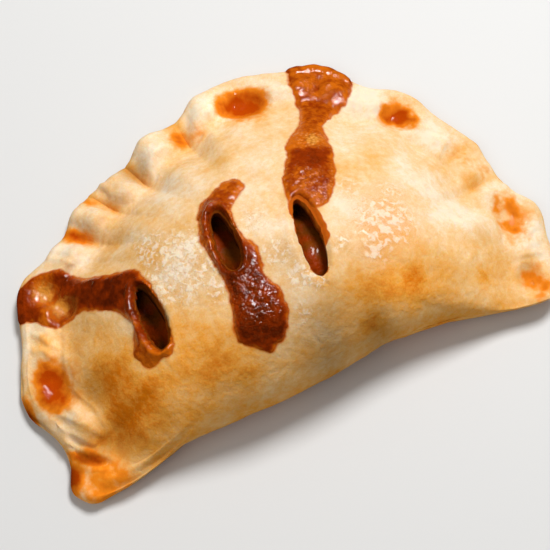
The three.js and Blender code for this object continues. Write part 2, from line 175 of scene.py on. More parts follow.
def past(angle, degrees):
    """How far an angle lies past a bearing, from -pi to pi."""
    return (angle - math.radians(degrees) + math.pi) % (2.0 * math.pi) - math.pi


def on_plan(angle, radius):
    return radius * np.cos(angle), MIDDLE_Y + radius * np.sin(angle)


def in_space(angle, radius, height):
    return np.stack([*on_plan(angle, radius), height], axis=-1)


def flat_points(x, y):
    return np.stack([x, y, np.zeros(x.shape)], axis=-1)


def closeness(x, y, spot_x, spot_y, radius):
    """1 at a spot, fading over a radius."""
    return np.exp(-((x - spot_x) ** 2 + (y - spot_y) ** 2) / radius**2)


def spots(x, y, places):
    """The strengths of all the spots together: each is x, y, radius, strength."""
    return sum(strength * closeness(x, y, *spot) for *spot, strength in places)


def strongest(x, y, places):
    """The strength of the spot that is felt most."""
    return np.maximum.reduce([strength * closeness(x, y, *spot) for *spot, strength in places])


def below_tips(angle):
    """Degrees below the middle line, towards the fold."""
    degrees = bearing(angle)
    return np.where(degrees < 90.0, -degrees, degrees - 180.0)


def rim_share(angle):
    """1 where the crimped rim gives the outline and 0 where the fold does."""
    return 1.0 - ease(below_tips(angle), RIM_ENDS, FOLD_STARTS)


def flat_share(angle):
    """1 where the section is a flat rim and 0 where it is a round fold."""
    left = np.cos(angle) < 0.0
    starts = np.where(left, ROUND_FROM[0], ROUND_FROM[1])
    return 1.0 - ease((below_tips(angle) - starts) / np.where(left, *ROUND_OVER), 0.0, 1.0)


def crimp_at(angle):
    """Reach and height of the rim at an angle. The ridges are round, the valleys between sharp."""
    degrees = bearing(angle)
    after = np.clip(np.searchsorted(CRIMPS[:, 0], degrees), 1, len(CRIMPS) - 1)
    start, end = CRIMPS[after - 1], CRIMPS[after]
    share = np.clip((degrees - start[..., 0]) / (end[..., 0] - start[..., 0]), 0.0, 1.0)
    reach = blend(start[..., 1], end[..., 1], ease(share, 0.0, 1.0))
    low = np.minimum(start[..., 2], end[..., 2])
    high = np.maximum(start[..., 2], end[..., 2])
    up = np.where(end[..., 2] > start[..., 2], share, 1.0 - share)
    return reach, blend(low, high, np.sin(math.pi / 2.0 * up))


def fold_depth(x):
    return FOLD_DEPTH - WAIST_DEPTH * bell(x, WAIST_X, WAIST_WIDTH)


def fold_reach(angle, inset):
    across = np.cos(angle)
    forward = np.maximum(np.abs(np.sin(angle)), LEAST_SLOPE)
    depth = fold_depth(FOLD_DEPTH * across / forward) - inset
    power = FOLD_SQUARENESS
    total = np.abs(across / (HALF_LENGTH - inset)) ** power + (forward / depth) ** power
    return total ** (-1.0 / power)


def lower_lip(angle):
    """How much further than usual the lower layer reaches."""
    degrees = bearing(angle)
    return sum(more * bell(degrees, at, width) for at, width, more in LOWER_LIPS)


def reach_at(angle):
    crimped = crimp_at(angle)[0] + lower_lip(angle)
    return blend(fold_reach(angle, 0.0), crimped, rim_share(angle))


def tip_bulge(angle):
    """How far a tip stands out past the line of the fold."""
    beyond = np.maximum(0.0, reach_at(angle) - fold_reach(angle, 0.0))
    return beyond * np.maximum(0.0, -np.sin(angle))


def crease_height(angle):
    return CREASE_HEIGHT + CREASE_FOLLOWS * (crimp_at(angle)[1] - (PRESS_TOP + RIDGE_TOP) / 2)


def near_crease(radius, inset):
    return ease(radius / (HALF_LENGTH - RIM_WIDTH - inset), DOME_EVEN, 1.0)


def foot_softness(angle):
    """How gently the dome runs out into the rim."""
    below = below_tips(angle)
    share = ease(below, *SOFT_FOOT[:2]) - ease(below, *SOFT_FOOT[2:])
    return blend(*FOOT_SOFTNESS, share)


def dome_height(angle, radius, inset):
    """Height of the dome at an angle and a distance from the middle, an inset inside it."""
    x, y = on_plan(angle, radius)
    even = HALF_LENGTH - RIM_WIDTH - inset
    share = rim_share(angle)
    crimped = blend(even, crimp_at(angle)[0] - RIM_WIDTH - inset, share)
    close = near_crease(radius, inset)
    arch = np.maximum(0.0, 1.0 - (radius / blend(even, crimped, close)) ** DOME_FULLNESS)
    softness = foot_softness(angle)
    arch = (1.0 + softness) * arch * arch / (arch + softness)
    bulge = tip_bulge(angle) * (radius / reach_at(angle)) ** TIP_TIGHTNESS
    behind = (y - MIDDLE_Y + fold_depth(x) + bulge - inset) / FOLD_ROUNDING
    ahead = np.clip(1.0 - behind, 0.0, 1.0)
    back = (1.0 - ahead**FOLD_ROUNDNESS) ** (1.0 / FOLD_ROUNDNESS)
    foot = (
        CREASE_HEIGHT
        - FOOT_SINKS * inset
        + (FOLD_HEIGHT - CREASE_HEIGHT) * arch * (1.0 - back)
        + (crease_height(angle) - CREASE_HEIGHT) * share * close
    )
    rise = back * arch
    swell = spots(x, y, SWELLS) * np.minimum(1.0, 2.0 * rise)
    return foot + (HEIGHT - inset - foot) * rise + swell


def rim_top(angle, share, start):
    """Height of the rim's upper face, from 0 at the crease, where it starts at a height, to 1 at
    the edge."""
    top = crimp_at(angle)[1]
    heavy = ease(top, PRESS_TOP, RIDGE_TOP)
    droop = RIDGE_DROOP * heavy * ease(share, DROOP_STARTS, 1.0)
    crease = ease(bearing(angle), *CREASE_STARTS)
    depth = CREASE_DEPTH * crease * (1.0 - ease(below_tips(angle), 0.0, CREASE_FADES))
    sunk = ease(share, 0.0, GROOVE_BOTTOM) - ease(share, GROOVE_BOTTOM, RIDGE_FULL)
    full = ease(share, 0.0, RIDGE_FULL)
    return blend(start, top, full) - droop - depth * sunk


def well_share(well, angle, radius):
    """How far a point lies from the middle of a well: 1 at its edge."""
    degrees, middle, length, width, _, turn = well
    beyond = past(angle, degrees)
    cos, sin = math.cos(math.radians(turn)), math.sin(math.radians(turn))
    along = np.abs(beyond * middle * cos + (radius - middle) * sin) / length
    across = np.abs((radius - middle) * cos - beyond * middle * sin) / width
    return (along**WELL_POWER + across**WELL_POWER) ** (1.0 / WELL_POWER)


def pressed(angle, radius, height):
    """Height of a surface once the thumb has pressed its wells into it."""
    for well in WELLS:
        away = well_share(well, angle, radius)
        deep = 1.0 - ease(away, WELL_FLOOR, WELL_WALL)
        height = height - np.maximum(0.0, height - well[4]) * deep
        height = height + WELL_LIP * bell(away, LIP_PLACE, LIP_SPREAD)
    return height


def rim_section(angle, way):
    lip = lower_lip(angle)
    slant = EDGE_SLANT + lip
    shoulder = reach_at(angle) - slant
    crease = reach_at(angle) - RIM_WIDTH - lip
    if way <= TO_CREASE:
        radius = way / TO_CREASE * crease
        return radius, dome_height(angle, radius, 0.0)
    if way <= TO_EDGE:
        share = (way - TO_CREASE) / (TO_EDGE - TO_CREASE)
        start = dome_height(angle, crease, 0.0)
        return blend(crease, shoulder, share), rim_top(angle, share, start)
    if way <= TO_BASE:
        down = (way - TO_EDGE) / (TO_BASE - TO_EDGE)
        bulge = slant * math.sin(math.pi * down**EDGE_SAG)
        drop = (1.0 - math.cos(math.pi * down)) / 2.0
        return shoulder + bulge, blend(rim_top(angle, 1.0, 0.0), EDGE_LIFT, drop)
    inward = (way - TO_BASE) / (1.0 - TO_BASE)
    lift = EDGE_LIFT * (1.0 - ease(inward, 0.0, LIFT_FADES))
    return shoulder * (1.0 - inward), lift + 0.0 * angle


def fold_section(angle, way):
    edge = reach_at(angle)
    widest = dome_height(angle, edge, 0.0)
    tuck = edge * (1.0 - FOLD_TUCK * widest / (FOLD_HEIGHT * FOLD_DEPTH))
    if way <= TO_EDGE:
        radius = edge * math.sin(math.pi / 2.0 * way / TO_EDGE)
        return radius, dome_height(angle, radius, 0.0)
    if way <= TO_BASE:
        turn = math.pi / 2.0 * (way - TO_EDGE) / (TO_BASE - TO_EDGE)
        return blend(tuck, edge, math.cos(turn)), widest * (1.0 - math.sin(turn))
    return tuck * (1.0 - way) / (1.0 - TO_BASE), 0.0 * angle


def outside_points(angle, way):
    """Points on the outside of the pastry, one for each angle."""
    share = flat_share(angle)
    rim_radius, rim_height = rim_section(angle, way)
    fold_radius, fold_height = fold_section(angle, way)
    radius = blend(fold_radius, rim_radius, share)
    height = blend(fold_height, rim_height, share)
    if way <= TO_EDGE:
        height = pressed(angle, radius, height)
    return in_space(angle, radius, height)


def inside_points(angle, way, inset, sink):
    """Points on the hollow, or on the filling in it when the inset is larger."""
    share = rim_share(angle)
    crease = crimp_at(angle)[0] - RIM_WIDTH - inset
    edge = blend(fold_reach(angle, inset), crease, share)
    edge_height = dome_height(angle, edge, inset)
    if way <= HOLLOW_TOP:
        out = way / HOLLOW_TOP
        radius = edge * blend(math.sin(math.pi / 2.0 * out), out, share)
        top = dome_height(angle, radius, inset) - sink(*on_plan(angle, radius))
        return in_space(angle, radius, np.maximum(edge_height, top))
    inward = (way - HOLLOW_TOP) / (1.0 - HOLLOW_TOP)
    down = ease(inward, 0.0, INNER_CORNER)
    radius = (edge - INNER_TAPER * (edge_height - inset) * down) * (1.0 - inward**3)
    height = blend(edge_height, inset, down)
    return in_space(angle, radius, height)


# ---- Fine relief ----


def lattice(ix, iy, iz, seed):
    """A random number from 0 to 1 for each whole-number point."""
    mixed = (
        ix.astype(np.uint32) * np.uint32(374761393)
        + iy.astype(np.uint32) * np.uint32(668265263)
        + iz.astype(np.uint32) * np.uint32(1274126177)
        + np.uint32(seed * 7919)
    )
    mixed = (mixed ^ (mixed >> np.uint32(13))) * np.uint32(1103515245)
    mixed = (mixed ^ (mixed >> np.uint32(16))) * np.uint32(2654435761)
    return (mixed ^ (mixed >> np.uint32(15))).astype(np.float64) / 4294967295.0


def unevenness(points, size, seed):
    """Smooth random values from -1 to 1 with bumps of about a size."""
    at = points / size + 1000.0
    cell = np.floor(at).astype(np.int64)
    part = at - cell
    part = part * part * part * (part * (part * 6.0 - 15.0) + 10.0)
    total = 0.0
    for dx in (0, 1):
        for dy in (0, 1):
            for dz in (0, 1):
                weight = (
                    np.abs(1 - dx - part[..., 0])
                    * np.abs(1 - dy - part[..., 1])
                    * np.abs(1 - dz - part[..., 2])
                )
                total = total + weight * lattice(
                    cell[..., 0] + dx, cell[..., 1] + dy, cell[..., 2] + dz, seed
                )
    return 2.0 * total - 1.0


def uneven(points, *parts):
    """Unevenness of several sizes: each part is how much, its size and its seed."""
    return sum(share * unevenness(points, size, seed) for share, size, seed in parts)


def bubbles(points, size, seed):
    """Round bumps from 0 to 1, each about a size across, over a plan."""
    at = points[..., :2] / size + 500.0
    cell = np.floor(at).astype(np.int64)
    best = np.zeros(at.shape[:-1])
    for dx in (-1, 0, 1):
        for dy in (-1, 0, 1):
            cx, cy = cell[..., 0] + dx, cell[..., 1] + dy
            middle_x = cx + 0.15 + 0.7 * lattice(cx, cy, cx * 0, seed)
            middle_y = cy + 0.15 + 0.7 * lattice(cx, cy, cx * 0, seed + 1)
            radius = 0.25 + 0.4 * lattice(cx, cy, cx * 0, seed + 2)
            away = ((at[..., 0] - middle_x) ** 2 + (at[..., 1] - middle_y) ** 2) / radius**2
            best = np.maximum(best, radius * np.sqrt(np.maximum(0.0, 1.0 - away)))
    return best / 0.65


def closed_curve(points):
    """A smooth closed outline through points."""
    pieces = 5
    p1 = np.asarray(points, dtype=float)
    p0, p2, p3 = np.roll(p1, 1, 0), np.roll(p1, -1, 0), np.roll(p1, -2, 0)
    t = (np.arange(pieces) / pieces)[None, :, None]
    p0, p1, p2, p3 = (p[:, None, :] for p in (p0, p1, p2, p3))
    curve = 0.5 * (
        2 * p1
        + (p2 - p0) * t
        + (2 * p0 - 5 * p1 + 4 * p2 - p3) * t**2
        + (3 * p1 - p0 - 3 * p2 + p3) * t**3
    )
    return curve.reshape(-1, 2)


def signed_distance(x, y, outline):
    """Distance to a closed outline in the plan, below zero inside it."""
    result = np.full(x.shape, 99.0)
    margin = 8.0
    low, high = outline.min(0) - margin, outline.max(0) + margin
    near = (x > low[0]) & (x < high[0]) & (y > low[1]) & (y < high[1])
    px, py = x[near], y[near]
    best = np.full(px.shape, 1e9)
    inside = np.zeros(px.shape, dtype=bool)
    for (ax, ay), (bx, by) in zip(outline, np.roll(outline, -1, 0)):
        dx, dy = bx - ax, by - ay
        t = np.clip(((px - ax) * dx + (py - ay) * dy) / (dx * dx + dy * dy + 1e-12), 0.0, 1.0)
        best = np.minimum(best, (px - ax - t * dx) ** 2 + (py - ay - t * dy) ** 2)
        crosses = (ay > py) != (by > py)
        inside ^= crosses & (px < (bx - ax) * (py - ay) / (by - ay + 1e-12) + ax)
    result[near] = np.sqrt(best) * np.where(inside, -1.0, 1.0)
    return result


def slit_outline(slit):
    """The pointed oval of a slit, with a slightly torn edge."""
    x, y, length, width, turn = slit
    half, wide = length / 2.0, width
    bends = (
        ((0, -half), (wide * 0.55, -half), (wide * 0.62, -half * 0.3), (wide / 2, half * 0.2)),
        ((wide / 2, half * 0.2), (wide * 0.4, half * 0.7), (wide * 0.2, half), (0, half)),
        ((0, half), (-wide * 0.3, half), (-wide * 0.5, half * 0.5), (-wide / 2, 0)),
        ((-wide / 2, 0), (-wide * 0.5, -half * 0.6), (-wide * 0.3, -half), (0, -half)),
    )
    t = (np.arange(16) / 16.0)[:, None]
    left = 1 - t
    around = []
    for bend in bends:
        a, b, c, d = (np.array(p, dtype=float) for p in bend)
        around.append(a * left**3 + 3 * b * t * left**2 + 3 * c * t**2 * left + d * t**3)
    around = np.concatenate(around)
    out = around / np.maximum(np.linalg.norm(around, axis=1, keepdims=True), 0.5)
    ragged = unevenness(flat_points(*(around + [x, y]).T), 1.1, 5)
    u, v = (around + out * 0.22 * ragged[:, None]).T
    cos, sin = math.cos(math.radians(turn)), math.sin(math.radians(turn))
    return np.stack([x + u * cos - v * sin, y + u * sin + v * cos], axis=1)


SLIT_OUTLINES = tuple(slit_outline(slit) for slit in SLITS)
WET_SLITS, RIGHT_SLIT = SLIT_OUTLINES[:2], SLIT_OUTLINES[2]  # juice all round, or on one side
SLIT_LEANS = (0.3, 0.5, 0.6)  # how far each slit's wall leans in
TO_CRIMPS = np.array([0.9, 0.44])  # across a slit, up towards the crimps and the right tip


def slit_distance(x, y, outlines=SLIT_OUTLINES):
    return np.minimum.reduce([signed_distance(x, y, outline) for outline in outlines])


def polar(points):
    """Angle about the middle and distance from it."""
    across, along = points[..., 0], points[..., 1] - MIDDLE_Y
    return np.arctan2(along, across), np.hypot(along, across)


def rim_place(points):
    """How far across the rim a point lies: 0 at the crease, 1 at the edge, and the rim's share."""
    angle, radius = polar(points)
    reach = crimp_at(angle)[0]
    return (radius - reach + RIM_WIDTH) / RIM_WIDTH, rim_share(angle)


# Fine folds in the dough, standing out, and small cracks, sunk: the two ends of each in the plan,
# its width, and how far it stands out.
FINE_FOLDS = (
    (-59.5, -13, -53.5, -20, 0.7, 0.4), (-58, -10.5, -51.5, -18.5, 0.6, 0.35),
    (-60, -16, -55.5, -21, 0.5, 0.3), (-56.5, 9.5, -53, 4.5, 0.8, 0.45),
    (-58, 6.5, -55, 2.5, 0.7, 0.35), (-52, 11, -50.5, 6.5, 0.6, 0.3),
    (-46, 25, -42, 21.5, 0.8, 0.35), (-34, 34.5, -31, 29.5, 0.8, 0.35),
    (-28.5, 38, -26.5, 33.5, 0.7, 0.35), (38, 33.5, 34.5, 28.5, 0.8, 0.3),
    (51, 13, 47, 10, 0.8, 0.3), (60, -15, 54.5, -16, 0.8, 0.35), (58.5, -21, 53.5, -20.5, 0.6, 0.3),
    (-16.2, 1.2, -13.8, 1.6, 0.25, -0.4), (-14.2, 0.6, -14, 2.8, 0.25, -0.35),
    (-26, -2.4, -23.2, -0.8, 0.25, -0.35), (-1.2, -20.6, -0.6, -23.6, 0.4, -0.15),
    (4.4, -11.4, 6, -14, 0.5, -0.3),
)  # fmt: skip


SEAM_WIDTH, SEAM_DEPTH = 0.4, 0.55  # of the line between the two layers in the rim's edge
BASE_FADE = (0.6, 2.5)  # heights over which the flat base gives way to the uneven crust
DOME_FADE = (8.0, 14.0)  # heights over which the slits' lips come to stand out
RIM_FADE = (-0.1, 0.3)  # shares of the rim's width over which it turns pillowy
LIP_RISE, LIP_DIP = 0.35, 0.55  # dough lifted beside a slit, and drawn down at its edge


def fine_folds(points):
    """How far the fine folds stand out."""
    x = points[..., 0] + 0.4 * unevenness(points, 2.0, 11)
    y = points[..., 1] + 0.4 * unevenness(points, 2.0, 12)
    total = np.zeros(x.shape)
    for x0, y0, x1, y1, width, rise in FINE_FOLDS:
        dx, dy = x1 - x0, y1 - y0
        along = np.clip(((x - x0) * dx + (y - y0) * dy) / (dx * dx + dy * dy), 0.0, 1.0)
        away = np.hypot(x - x0 - along * dx, y - y0 - along * dy)
        total = total + rise * bell(away, 0.0, width) * ease(points[..., 2], 2.0, 3.0)
    return total


def layer_seam(points):
    """How deep the seam between the two layers of dough lies in the rim's edge."""
    angle, radius = polar(points)
    shoulder = reach_at(angle) - EDGE_SLANT - lower_lip(angle)
    seam = blend(EDGE_LIFT, rim_top(angle, 1.0, 0.0), 0.5 + 0.12 * unevenness(points, 5.0, 13))
    side = ease(radius, shoulder + 0.2, shoulder + 1.0) * (1.0 - ease(below_tips(angle), 6.0, 13.0))
    return side * bell(points[..., 2], seam, SEAM_WIDTH)


def relief(points):
    """How far the crust stands out from its smooth form."""
    across, share = rim_place(points)
    height = points[..., 2]
    broad = uneven(points, (0.34, 13.0, 1), (0.2, 6.0, 2))
    small = uneven(points, (0.07, 2.4, 3), (0.03, 1.1, 4))
    pillows = share * ease(across, *RIM_FADE) * uneven(points, (0.2, 4.5, 6), (0.07, 2.2, 7))
    outside = np.maximum(slit_distance(points[..., 0], points[..., 1]), 0.0)
    lips = LIP_RISE * bell(outside, 1.5, 1.3) - LIP_DIP * bell(outside, 0.0, 0.55)
    folds = fine_folds(points) - SEAM_DEPTH * layer_seam(points)
    crust = ease(height, *BASE_FADE) * (broad + small + pillows)
    return crust + lips * ease(height, *DOME_FADE) + folds


# ---- Meshes ----

OUTER_COUNT, INNER_COUNT, APPLE_COUNT = 832, 208, 320  # points round the rim


def outline_angles(count):
    """Angles that space points evenly along the outline."""
    samples = 2880
    angle = np.linspace(0.0, 2.0 * math.pi, samples + 1)
    reach = reach_at(angle)
    place = np.stack([reach * np.cos(angle), reach * np.sin(angle)], axis=1)
    steps = np.linalg.norm(np.diff(place, axis=0), axis=1)
    travelled = np.concatenate([[0.0], np.cumsum(steps)])
    return np.interp(np.arange(count) / count * travelled[-1], travelled, angle)


def stitched(fa, na, fb, nb):
    """Triangles between an inner ring and an outer one when one has several times the points of
    the other. fa and fb are their first points."""
    inner_is_coarse = nb > na
    coarse, n, fine, m = (fa, na, fb, nb) if inner_is_coarse else (fb, nb, fa, na)
    times = m // n
    faces = []
    for i in range(n):
        here, there = coarse + i, coarse + (i + 1) % n
        along = [fine + (i * times + k) % m for k in range(times + 1)]
        half = times // 2
        faces += [(here, along[k], along[k + 1]) for k in range(half)]
        faces.append((here, along[half], there))
        faces += [(there, along[k], along[k + 1]) for k in range(half, times)]
    return faces if inner_is_coarse else [face[::-1] for face in faces]


def ring_mesh(place, ways, count, halvings):
    """A closed surface of rings from the top to the middle of the base. place(angles, way) gives
    a ring; the rings have fewer points where halvings(way) is higher."""
    angles = outline_angles(count)
    rings = [place(angles[:: 2 ** halvings(way)], way) for way in ways]
    sizes = [len(ring) for ring in rings]
    firsts = list(accumulate(sizes, initial=1))
    bottom = firsts.pop()
    n, last = sizes[-1], firsts[-1]
    faces = [(0, 1 + i, 1 + (i + 1) % sizes[0]) for i in range(sizes[0])]
    for fa, fb, na, nb in zip(firsts, firsts[1:], sizes, sizes[1:]):
        if na == nb:
            faces += [(fa + i, fb + i, fb + (i + 1) % nb, fa + (i + 1) % na) for i in range(na)]
        else:
            faces += stitched(fa, na, fb, nb)
    faces += [(last + i, bottom, last + (i + 1) % n) for i in range(n)]
    return np.concatenate([place(angles[:1], 0.0), *rings, place(angles[:1], 1.0)]), faces


def ring_ways(*spans):
    """How far along each ring lies: each span is start, end, count."""
    return np.concatenate([np.linspace(*span)[1:] for span in spans])[:-1]


def new_piece(name, points, faces, materials):
    """An object from points in millimetres."""
    mesh = bpy.data.meshes.new(name)
    mesh.from_pydata((np.asarray(points) * MM).tolist(), [], [tuple(map(int, f)) for f in faces])
    mesh.validate()
    for material in materials:
        mesh.materials.append(material)
    piece = bpy.data.objects.new(name, mesh)
    bpy.context.scene.collection.objects.link(piece)
    return piece


def positions(mesh):
    """A mesh's points in millimetres."""
    flat = np.empty(len(mesh.vertices) * 3)
    mesh.vertices.foreach_get("co", flat)
    return flat.reshape(-1, 3) / MM


def displace(piece, amount):
    """Moves each point along its normal by amount(points), in millimetres."""
    mesh = piece.data
    points = positions(mesh)
    normals = np.empty(len(points) * 3)
    mesh.vertex_normals.foreach_get("vector", normals)
    moved = points + normals.reshape(-1, 3) * amount(points)[:, None]
    mesh.vertices.foreach_set("co", (moved * MM).ravel())
    mesh.update()


def carve(piece, tools):
    """Cuts the tools out of a piece and removes them."""
    for tool in tools:
        cut = piece.modifiers.new("cut", "BOOLEAN")
        cut.operation = "DIFFERENCE"
        cut.solver = "MANIFOLD"
        cut.object = tool
    graph = bpy.context.evaluated_depsgraph_get()
    carved = bpy.data.meshes.new_from_object(piece.evaluated_get(graph))
    whole = piece.data
    piece.modifiers.clear()
    piece.data = carved
    carved.name = piece.name
    bpy.data.meshes.remove(whole)
    for tool in tools:
        bpy.data.objects.remove(tool)


def paint(piece, **layers):
    """Stores values at each point for the materials."""
    for name, values in layers.items():
        layer = piece.data.attributes.new(name, "FLOAT", "POINT")
        layer.data.foreach_set("value", np.asarray(values, dtype=np.float32))


def smooth(piece, sharp_degrees=48.0):
    mesh = piece.data
    mesh.polygons.foreach_set("use_smooth", np.ones(len(mesh.polygons), dtype=bool))
    mesh.set_sharp_from_angle(angle=math.radians(sharp_degrees))


def hand_in(piece, node):
    """Puts a piece under the root body and hides the node's part in the solids, which the piece
    replaces.
    """
    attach(piece, "root")
    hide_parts(node)


# ---- Crust ----


def outer_halvings(way):
    """How often the points of a ring are halved: least from the dome's foot to the rim's edge."""
    if way > TO_BASE + 0.002:
        return 3
    if way > TO_CREASE * 0.76:
        return 0
    if way > TO_CREASE * 0.38:
        return 1
    return 2 if way > TO_CREASE * 0.19 else 3


def outer_shell():
    upper = (0.0, TO_CREASE, 118), (TO_CREASE, TO_EDGE, 26)
    lower = (TO_EDGE, TO_BASE, 17), (TO_BASE, 1.0, 14)
    return ring_mesh(outside_points, ring_ways(*upper, *lower), OUTER_COUNT, outer_halvings)


def hollow_shell():
    def place(angles, way):
        return inside_points(angles, way, WALL, lambda x, y: 0.0)

    ways = ring_ways((0.0, HOLLOW_TOP, 34), (HOLLOW_TOP, 1.0, 12))
    return ring_mesh(place, ways, INNER_COUNT, lambda way: 1 if way < 0.2 or way > 0.9 else 0)


def slit_tool(outline, lean, name, materials):
    """A plug with a slit's outline. Its wall leans in by up to a distance on the side towards
    the crimps and the right tip, so that it shows."""
    middle = outline.mean(0)
    levels = np.linspace(HEIGHT * 0.3, HEIGHT + 5.0, 24)
    n, last = len(outline), len(levels) - 1
    crust_top = float(dome_height(*polar(middle), 0.0))
    across = (outline - middle) @ TO_CRIMPS
    side = np.clip(across / (0.5 * np.abs(across).max()), 0.0, 1.0)
    rings = []
    for level in levels:
        below = 1.0 - ease(level, crust_top - WALL - 0.5, crust_top)
        ring = outline - below * lean * side[:, None] * TO_CRIMPS
        rings.append(np.column_stack([ring, np.full(n, level)]))
    faces = [tuple(range(n))[::-1], tuple(last * n + i for i in range(n))]
    for first in range(0, last * n, n):
        for i in range(n):
            here, there = first + i, first + (i + 1) % n
            faces.append((here, there, there + n, here + n))
    return new_piece(name, np.concatenate(rings), faces, materials)


# Where the oven browned the crust more or less than the rest, and some small spots in the rim's
# folds and creases browned more as painted warm shade: x, y, radius, strength.
BROWNING_AND_SHADE_SPOTS = (
    (-41.5, -16, 8.5, 0.56), (-45, -4, 7, 0.34), (-49.5, -22, 6, 0.32), (-42, -26, 6, 0.16),
    (-22, -15.5, 6.5, 0.36), (-30, -21.5, 7, 0.26), (-18, -24, 6, 0.26), (-27, -8.5, 4.5, 0.28),
    (-36, -27, 5, 0.12), (-3, -27, 7, 0.14), (12, -21.5, 8, 0.34), (27, -21.5, 8, 0.26),
    (19, -17, 6, 0.12), (43, -24, 6, 0.2), (25, -18.5, 2.5, 0.24), (42, -22.5, 2.5, 0.14),
    (5.5, -14, 2, 0.25), (-33, 19, 5, 0.12), (-2.5, 25, 4, 0.12), (24, -10, 5, 0.08),
    (42.5, -15, 4, 0.25), (-54.5, 6.5, 4, 0.16), (0, -13.5, 4, -0.1), (41, -7, 9, -0.3),
    (38, 6, 8, -0.2), (16.5, 0, 5, -0.3), (27, 21, 6, -0.16), (-20.7, 4, 6, -0.1), (1, 6, 9, -0.2),
    (8, 25, 8, -0.1), (-13, 23, 8, -0.2), (36, 29, 6, -0.36), (47, 15, 6, -0.18),
    (58, -18, 5, -0.24), (-40, 22, 5, -0.24), (-55, -15.5, 2.5, 0.24), (-52.5, -18.5, 2.5, 0.22),
    (-56, 6.5, 2.5, 0.2), (-43.6, 21.5, 2, 0.2), (54.8, -21.4, 2.5, 0.4), (51, 1.5, 2.5, 0.35),
    (-14, 38.5, 5, -0.14), (1.5, 42, 5.5, -0.2), (18.3, 40, 4, -0.1), (-20.8, 12.5, 5, 0.12),
    (28.4, 10.5, 5, 0.14), (27.3, -22, 4, 0.1), (-26.9, 12.9, 4, 0.08), (-1.8, -19.5, 3, -0.1),
    (-27.5, -21, 4, 0.07), (-18.4, -26.8, 4, 0.07), (3.6, -20.5, 3, 0.08),
)  # fmt: skip


# Where the crust is lighter, or below zero darker, than its baking alone makes it: partly the
# crust's own colour and partly painted light and shade, with painted light on the tab's top and on
# the upper part of the fold's front, and painted shade lower on the fold's front, in a valley of
# the crimps and in the groove behind the left tip. Each is x, y, radius, strength.
LIGHT_SHADE_AND_TONE = (
    (-49.4, -21.2, 5, -0.42), (-48.5, -8.4, 4, -0.2), (-42.5, -13, 6, 0.24), (-36, -16, 7, 0.2),
    (-29, -19, 6, 0.16), (-44.8, -2.2, 4, 0.12), (-56, 6, 6, 0.22), (-14, 38, 5, 0.1),
    (1.5, 42, 6, 0.22), (-2, -16, 7, -0.16), (0.4, -5.3, 4, -0.14), (1, -25.5, 5, -0.32),
    (5, -19.5, 5, -0.22), (13.9, -24.6, 5, -0.36), (20.5, -20.5, 5, 0.34), (27, -19.5, 7, 0.16),
    (40, -20.5, 7, 0.14), (-58, -24, 7, 0.3), (-65, -8, 4, -0.4), (-19.5, 37.5, 3.5, -0.36),
    (-57.3, -22, 2.6, -0.6), (-61.8, -24.5, 2.8, -0.6), (-54, -28.5, 4.5, 0.25),
)  # fmt: skip


def tone(points):
    """How much lighter than usual the crust is, below zero darker: partly its own colour and partly
    painted light and shade, with painted shade in and round the two wet slits.
    """
    x, y = points[..., 0], points[..., 1]
    total = spots(x, y, LIGHT_SHADE_AND_TONE)
    # Painted shade: the crust and its torn walls are darkened in and just round the two wet slits.
    for outline, strength in zip(WET_SLITS, (-0.75, -0.7)):
        total = total + strength * ease(signed_distance(x, y, outline), 0.9, 0.5)
    return total


# How much egg wash browned in each well.
WELL_WASH = (0.45, 0.45, 0.8, 1.0, 0.6, 0.5, 1.0, 0.9)

# Browned egg wash beside the wells: degrees, distance from the middle, length, width, strength.
WASHED = (
    (197.5, 57.5, 8.5, 8.5, 0.62), (191, 56.2, 4, 2.2, 0.8), (191, 62.5, 4.5, 3.5, 1.2),
    (176.5, 65, 5, 1.8, 1.1), (170, 52.5, 5, 3, 0.4), (176, 54, 3, 4, 0.35), (79, 50, 5, 3, 0.5),
    (97.5, 52.5, 2.2, 3.2, 0.75), (134, 55.5, 1.9, 4.6, 0.9), (124.8, 56.1, 1.6, 3.6, 0.5),
    (112.5, 52.5, 1.6, 5, 0.35), (92.5, 51, 2.6, 3, 0.35), (21.5, 56, 5, 2.6, 0.3),
    (15, 57, 3, 3, 0.3), (5, 57.5, 4, 3.5, 0.4), (-4.5, 54, 4, 3, 0.35), (-11.5, 57, 2, 3, 0.35),
    (-17, 57, 5, 5, 0.45), (161, 57.5, 3, 3, 0.3),
)  # fmt: skip


def patchy_side(angle):
    """1 on the right, where the egg wash is patchy, and 0 on the left."""
    return ease(bearing(angle), 65.0, 50.0)


def well_depth(points, seed):
    """How deep a point lies in a thumb press: 1 on its floor, 0 beyond its lip."""
    angle, radius = polar(points)
    ragged = uneven(points, (0.1, 2.6, seed), (0.05, 1.1, seed + 1))
    ragged = ragged * (1.0 + 1.5 * patchy_side(angle))
    deepest = np.zeros(radius.shape)
    for well, strength in zip(WELLS, WELL_WASH):
        away = well_share(well, angle, radius) + ragged
        deepest = np.maximum(deepest, strength * (1.0 - ease(away, 0.4, 1.4)))
    return deepest * ease(points[..., 2], 1.0, 2.5)


def washed(points):
    """How much browned egg wash lies on a point."""
    angle, radius = polar(points)
    most = well_depth(points, 23)
    for degrees, middle, along, across, strength in WASHED:
        away = (past(angle, degrees) * middle / along) ** 2 + ((radius - middle) / across) ** 2
        most = np.maximum(most, strength * np.exp(-away))
    patchy = 1.0 + (0.12 + 0.5 * patchy_side(angle)) * unevenness(points, 2.4, 25)
    return most * patchy * ease(points[..., 2], 0.8, 2.0)


